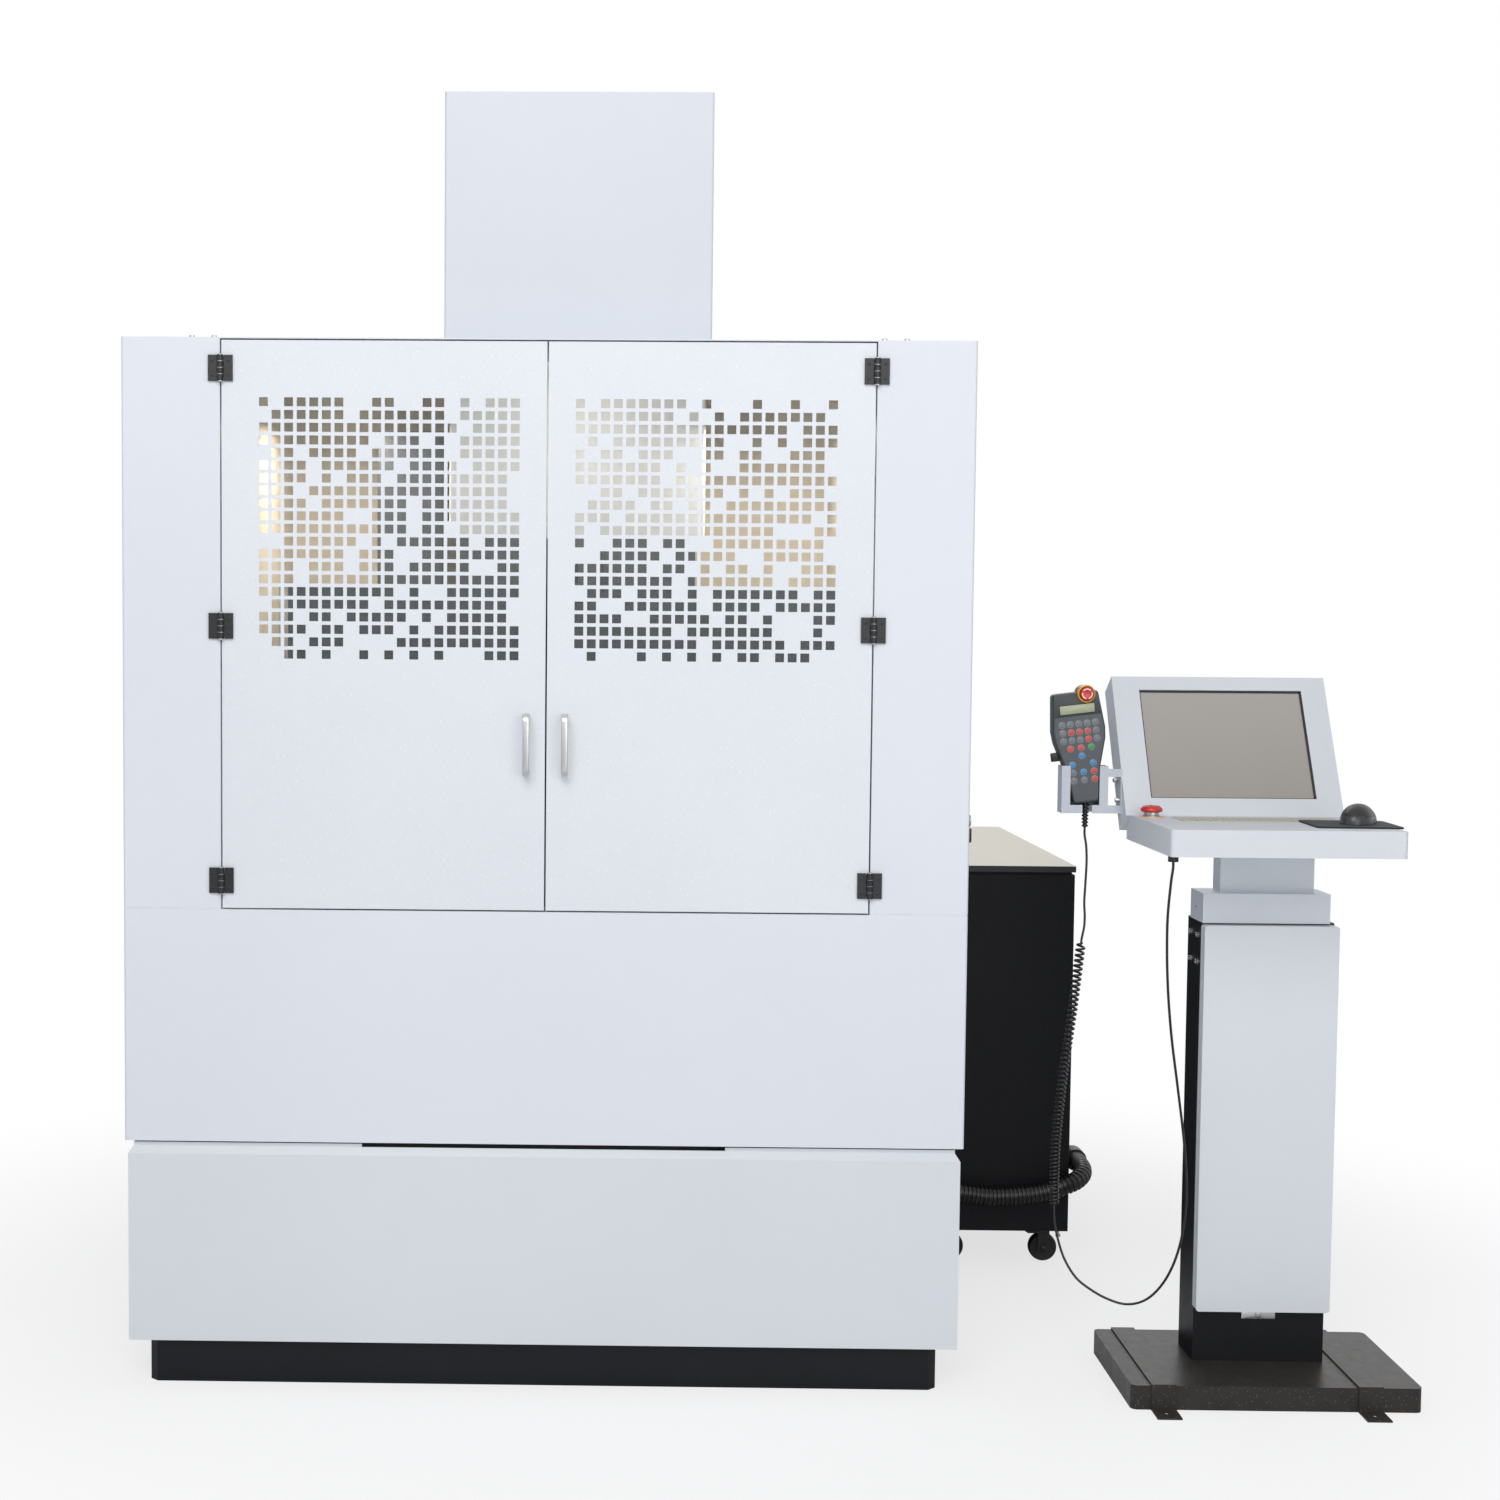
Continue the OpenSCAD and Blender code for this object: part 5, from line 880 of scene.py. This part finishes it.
def makeHandset(h):
    low, high = h["shares"][0] * h["height"], h["shares"][-1] * h["height"]
    stopX, stopZ = h["stopMiddle"]
    case = slab(roundCorners(handsetOutline(h, 0.0, low, high), h["corner"]), 0.0, h["depth"], h["rim"], 3)
    lobe = aim(turned(h["lobeShape"], 40), (stopX, h["depth"], stopZ), (0, -1, 0))
    case, lobe = [bored(part, h["bore"], (stopX, h["boreMiddle"], stopZ), (0, 1, 0), h["boreLength"])
                  for part in (case, lobe)]
    case = onHandset(joined([case, lobe]))
    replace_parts(finishPiece(case, "handsetCase", "handset_body", handsetAbs, 40), "handset")
    ribs, count, tall = [(h["reliefFoot"], 0.0)], h["reliefRings"], h["reliefHeight"]
    for i in range(count):
        wide, foot = h["reliefRadius"] + h["reliefSpread"] * (i + 1) / count, (i + 0.1) * tall / count
        ribs += [(wide + out, foot + up) for out, up in h["reliefRib"]]
    ribs.append((h["reliefTop"][0], tall + h["reliefTop"][1]))
    relief = aim(turned(ribs, 28), h["relief"], (0, 0, 1))
    finishPiece(relief, "handsetRelief", "handset_body", cordSheath, 50)
    film = handsetOutline(h, h["inset"], low + h["filmFoot"], h["step"] - h["margin"])
    film = slab(roundCorners(film, 0.004), -h["film"], h["sunk"], 0.0002, 1)
    film = finishPiece(onHandset(film), "handsetKeyFilm", "handset_body", overlayFilm)
    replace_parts(film, "handset_keypad")
    hood = roundCorners(handsetOutline(h, h["margin"], h["step"], high - h["margin"]), 0.005)
    hood = bored(slab(hood, -h["hood"], h["sunk"], 0.0006, 2), h["cup"], (stopX, 0.0, stopZ), (0, 1, 0))
    finishPiece(onHandset(hood), "handsetHood", "handset_body", handsetAbs)
    wide, tall, middle = h["window"]
    x, low, high, face, rim = wide / 2, middle - tall / 2, middle + tall / 2, -h["hood"], h["frame"]
    thin, (near, far) = h["frameThin"], h["glass"]
    edge = plate((-x - rim, face - thin, low - rim), (x + rim, face + thin, high + rim), corner=0.001,
                 rim=0.0001, axis=1)
    finishPiece(onHandset(edge), "handsetWindowFrame", "handset_body", blackTrimAndPaintedShadow)
    window = plate((-x, face - near, low), (x, face - far, high), corner=0.0006, rim=0.0001, axis=1)
    finishPiece(onHandset(window), "handsetWindow", "handset_body", displayGreen)
    keys, rings = {code: [] for code, name, finish in h["keyNames"]}, []
    for j, row in enumerate(h["rows"]):
        across = h["across"] * (1.0 if len(row) == 5 else h["spread"])
        for i, code in enumerate(row):
            place = ((i - (len(row) - 1) / 2) * across, -h["film"] + 0.0001, h["firstRow"] - j * h["down"])
            if code == " ":
                continue
            keys[code].append(aim(turned(h["keyShape"], 24), place, (0, -1, 0)))
            rings.append(aim(turned(h["keyRingShape"], 24), place, (0, -1, 0)))
    for code, name, finish in h["keyNames"]:
        finishPiece(onHandset(joined(keys[code])), name, "handset_body", finish)
    finishPiece(onHandset(joined(rings)), "handsetKeyRings", "handset_body", keyRing)
    grip = plate(*h["grip"], corner=0.002, rim=0.001)
    finishPiece(onHandset(grip), "handsetSideButton", "handset_body", blackTrimAndPaintedShadow)


def makeHandsetStop(h):
    stopX, stopZ = h["stopMiddle"]
    cup = bored(turned(h["cupShape"], 48), h["cup"], (0.0, 0.0, 0.0), (0, 0, 1))
    cup = onHandset(aim(cup, (stopX, 0.0, stopZ), (0, -1, 0)))
    finishPiece(cup, "handsetStopCup", "handset_body", signYellow)
    head = onHandset(aim(turned(h["headShape"], 48), (stopX, 0.0, stopZ), (0, -1, 0)))
    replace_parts(finishPiece(head, "handsetStopHead", "handset_stop_body", stopRed, 45), "handset_stop")
    arrows = onHandset(roundArrows(h, (stopX, -h["arrowTop"], stopZ), 1))
    finishPiece(arrows, "handsetStopArrows", "handset_stop_body", markWhite)


makeHandset(handset)
makeHandsetStop(handset)
print("handset made")


def capScrew(radius, height, washer=0.0):
    # a round head on a washer, with its socket
    return turned([(radius + washer, 0.0), (radius + washer, height * 0.18), (radius, height * 0.2),
                   (radius, height * 0.8), (radius * 0.8, height), (radius * 0.55, height),
                   (radius * 0.5, height * 0.6), (radius * 0.02, height * 0.6)], 24)


# Bright heads on the console's left: the holder's two, the post cover's four and the collar's rivet
sideScrews = [   # radius, height, washer, places
    (0.0046, 0.0095, 0.0015, [(1.066, -0.620, 1.1124), (1.066, -0.641, 1.0764)]),
    (0.0048, 0.0050, 0.0012, [(1.202, -0.650, 0.833), (1.202, -0.699, 0.833), (1.202, -0.650, 0.783),
                              (1.202, -0.699, 0.783)]),
    (0.0026, 0.0016, 0.0, [(1.1995, -0.690, 0.885)]),
]
screws = [aim(capScrew(radius, height, washer), place, (-1, 0, 0))
          for radius, height, washer, places in sideScrews for place in places]
finishPiece(joined(screws), "sideScrews", "machine", brightZinc)

# Cam lock's plate under the post's cover, with a round barrel
lockPlate = {"x": (1.290, 1.352), "z": (0.124, 0.140), "front": -0.728, "thick": 0.003,
             "barrel": [(0.0062, 0.0), (0.0062, 0.0016), (0.00527, 0.0022), (0.00186, 0.0022),
                        (0.001736, 0.0006), (0.000124, 0.0006)]}


def makeLock(k):
    (x0, x1), (z0, z1), face = k["x"], k["z"], k["front"] - k["thick"]
    cover = plate((x0, face, z0), (x1, k["front"], z1), corner=0.0015, rim=0.0004, axis=1)
    finishPiece(cover, "lockPlate", "machine", brightZinc)
    barrel = aim(turned(k["barrel"], 32), ((x0 + x1) / 2, face, (z0 + z1) / 2), (0, -1, 0))
    finishPiece(barrel, "lockBarrel", "machine", drumAluminium)


makeLock(lockPlate)

# Spring catch on the enclosure's right side: a black lever on a base, with a wire bow above it
catch = {"place": (0.7655, -0.742, 1.0), "base": ((0.0, -0.012, 0.008), (0.003, 0.012, 0.036)),
         "lever": ((0.003, -0.008, 0.004), (0.009, 0.008, 0.030)), "bow": (0.006, 0.0, 0.044),
         "bowRadius": 0.0095, "bowWire": 0.0016}


def makeCatch(c):
    base = plate(*shifted(c["place"], c["base"]), corner=0.002, rim=0.0004, axis=0)
    lever = plate(*shifted(c["place"], c["lever"]), corner=0.003, rim=0.0012, axis=0)
    finishPiece(joined([base, lever]), "catchLever", "machine", hingeCoat)
    clearSelection()
    bpy.ops.mesh.primitive_torus_add(
        major_radius=c["bowRadius"], minor_radius=c["bowWire"], major_segments=36, minor_segments=10,
        rotation=(0.0, math.radians(90), 0.0), location=shifted(c["place"], [c["bow"]])[0])
    finishPiece(bpy.context.object, "catchBow", "machine", brightZinc, 60)


makeCatch(catch)

# Casters: a rounded tread with a hub, and a nut on both ends of each front axle
caster = {
    "x": (0.852, 1.058), "wheel": 0.031, "bore": 0.0043, "fork": 0.0175,
    "ends": (("front", 0.105, 0.022, (0, 1, 0)), ("rear", 0.934, 0.0, (1, 0, 0))),   # name, y, trail, axle
    "tread": [(0.019, -0.01105), (0.0279, -0.01235), (0.03007, -0.00975), (0.031, -0.00455), (0.031, 0.00455),
              (0.03007, 0.00975), (0.0279, 0.01235), (0.019, 0.01105), (0.01824, 0.0078), (0.00855, 0.0078),
              (0.00798, 0.01196), (0.0042, 0.01196)],
    "nut": [(0.0075, 0.0), (0.0075, 0.0012), (0.0060, 0.0013), (0.0060, 0.0045), (0.0050, 0.0052),
            (0.0002, 0.0056)],
}


def makeCasters(c):
    for end, y, trail, axle in c["ends"]:
        for x, side in zip(c["x"], ("left", "right")):
            node = end + "_" + side + "_wheel"
            wheel = bored(turned(c["tread"], 48), c["bore"], (0.0, 0.0, 0.0), (0, 0, 1))
            wheel = aim(wheel, (x + trail, y, c["wheel"]), axle)
            finishPiece(wheel, end + side.title() + "Wheel", node + "_body", wheelRubber, 40)
            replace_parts(wheel, node)
    end, y, trail, axle = c["ends"][0]
    for x, side in zip(c["x"], ("left", "right")):
        nuts = [aim(turned(c["nut"], 24), (x + trail, y + way * c["fork"], c["wheel"]), (0, way, 0))
                for way in (-1, 1)]
        finishPiece(joined(nuts), side + "AxleNuts", side + "_fork_body", hingeCoat)


makeCasters(caster)

# Levelling screw in the cabinet's front right corner
levelling = {"place": (1.1060, 0.060, 0.0645),
             "shape": [(0.0050, 0.0), (0.0055, 0.0012), (0.0055, 0.0055), (0.0030, 0.0060), (0.0030, 0.0215)]}
screw = aim(turned(levelling["shape"], 20), levelling["place"], (0, 0, 1))
finishPiece(screw, "levellingScrew", "machine", brightZinc)
print("small parts made")


# The studio: pale floor and soft lamps
studio = {
    "floor": "#F4F5F7",
    "worldLight": 0.32,
    "near": 0.72,   # share of plain white that the camera sees in the floor close by
    "middle": (0.35, -0.1, 0.0),
    "fade": (1.1, 2.5),   # from the floor with its shadow to plain white, in metres from the middle
    "chamberLight": (1.0, 0.92, 0.8),
    "lamps": [   # name, watts, size, place, aim
        ("keyLamp", 132, 3.0, (-0.7, -5.2, 4.3), (0.2, -0.6, 1.3)),
        ("fillLamp", 58, 3.0, (2.2, -5.6, 2.2), (0.4, -0.6, 1.0)),
        ("backLamp", 64, 3.0, (0.5, 4.0, 4.0), (0.2, 0.5, 1.2)),
        ("leftChamberLamp", 2.8, 0.12, (-0.43, -0.22, 1.80), (-0.42, -0.20, 1.2)),
        ("rightChamberLamp", 2.8, 0.12, (0.44, -0.22, 1.80), (0.43, -0.20, 1.2)),
        ("frontChamberLamp", 1.75, 0.12, (0.03, -0.71, 1.80), (0.03, -0.36, 1.68)),
    ],
}


def makeStudio(s):
    clearSelection()
    bpy.ops.mesh.primitive_plane_add(size=60.0, location=(0.0, 0.0, -0.0005))
    floor = bpy.context.object
    floor.name = "studioFloor"
    material, tree, shader, place = newMaterial("studioFloor")
    setInputs(tree, shader, {"Base Color": linear(s["floor"]), "Roughness": 0.9, "Specular IOR Level": 0.1})
    reach = addNode(tree, "ShaderNodeVectorMath", {0: place, 1: s["middle"]}, operation="DISTANCE")
    far = addNode(tree, "ShaderNodeMapRange", {
        "Value": reach.outputs["Value"], "From Min": s["fade"][0], "From Max": s["fade"][1],
        "To Min": s["near"]}, interpolation_type="SMOOTHSTEP")
    rays = addNode(tree, "ShaderNodeLightPath")
    seen = addNode(tree, "ShaderNodeMath", {0: far.outputs[0], 1: rays.outputs["Is Camera Ray"]},
                   operation="MULTIPLY")
    white = addNode(tree, "ShaderNodeEmission", {"Color": grey(1.0), "Strength": 1.0})
    mixed = addNode(tree, "ShaderNodeMixShader", {
        0: seen.outputs[0], 1: shader.outputs[0], 2: white.outputs[0]})
    tree.links.new(mixed.outputs[0], tree.nodes["Material Output"].inputs["Surface"])
    floor.data.materials.append(material)
    world = bpy.data.worlds.new("studioWorld")
    bpy.context.scene.world = world
    world.use_nodes = True
    tree = world.node_tree
    tree.nodes.clear()
    rays = addNode(tree, "ShaderNodeLightPath")
    seen = rays.outputs["Is Camera Ray"]
    for other in ("Is Glossy Ray", "Is Transmission Ray"):
        either = addNode(tree, "ShaderNodeMath", {0: seen, 1: rays.outputs[other]}, operation="MAXIMUM")
        seen = either.outputs[0]
    light = addNode(tree, "ShaderNodeBackground", {"Color": linear("#FDFDFF"), "Strength": s["worldLight"]})
    backdrop = addNode(tree, "ShaderNodeBackground", {"Color": grey(1.0), "Strength": 1.0})
    both = addNode(tree, "ShaderNodeMixShader", {0: seen, 1: light.outputs[0], 2: backdrop.outputs[0]})
    addNode(tree, "ShaderNodeOutputWorld", {"Surface": both.outputs[0]})
    for name, watts, size, place, target in s["lamps"]:
        lamp = bpy.data.lights.new(name, "AREA")
        lamp.energy = watts
        lamp.size = size
        if "Chamber" in name:
            lamp.color = s["chamberLight"]
        obj = newObject(name, lamp)
        obj.visible_camera = False
        obj.location = place
        obj.rotation_euler = (Vector(target) - Vector(place)).to_track_quat("-Z", "Y").to_euler()
    bpy.context.scene.view_settings.view_transform = "Standard"


makeStudio(studio)
print("studio lit")
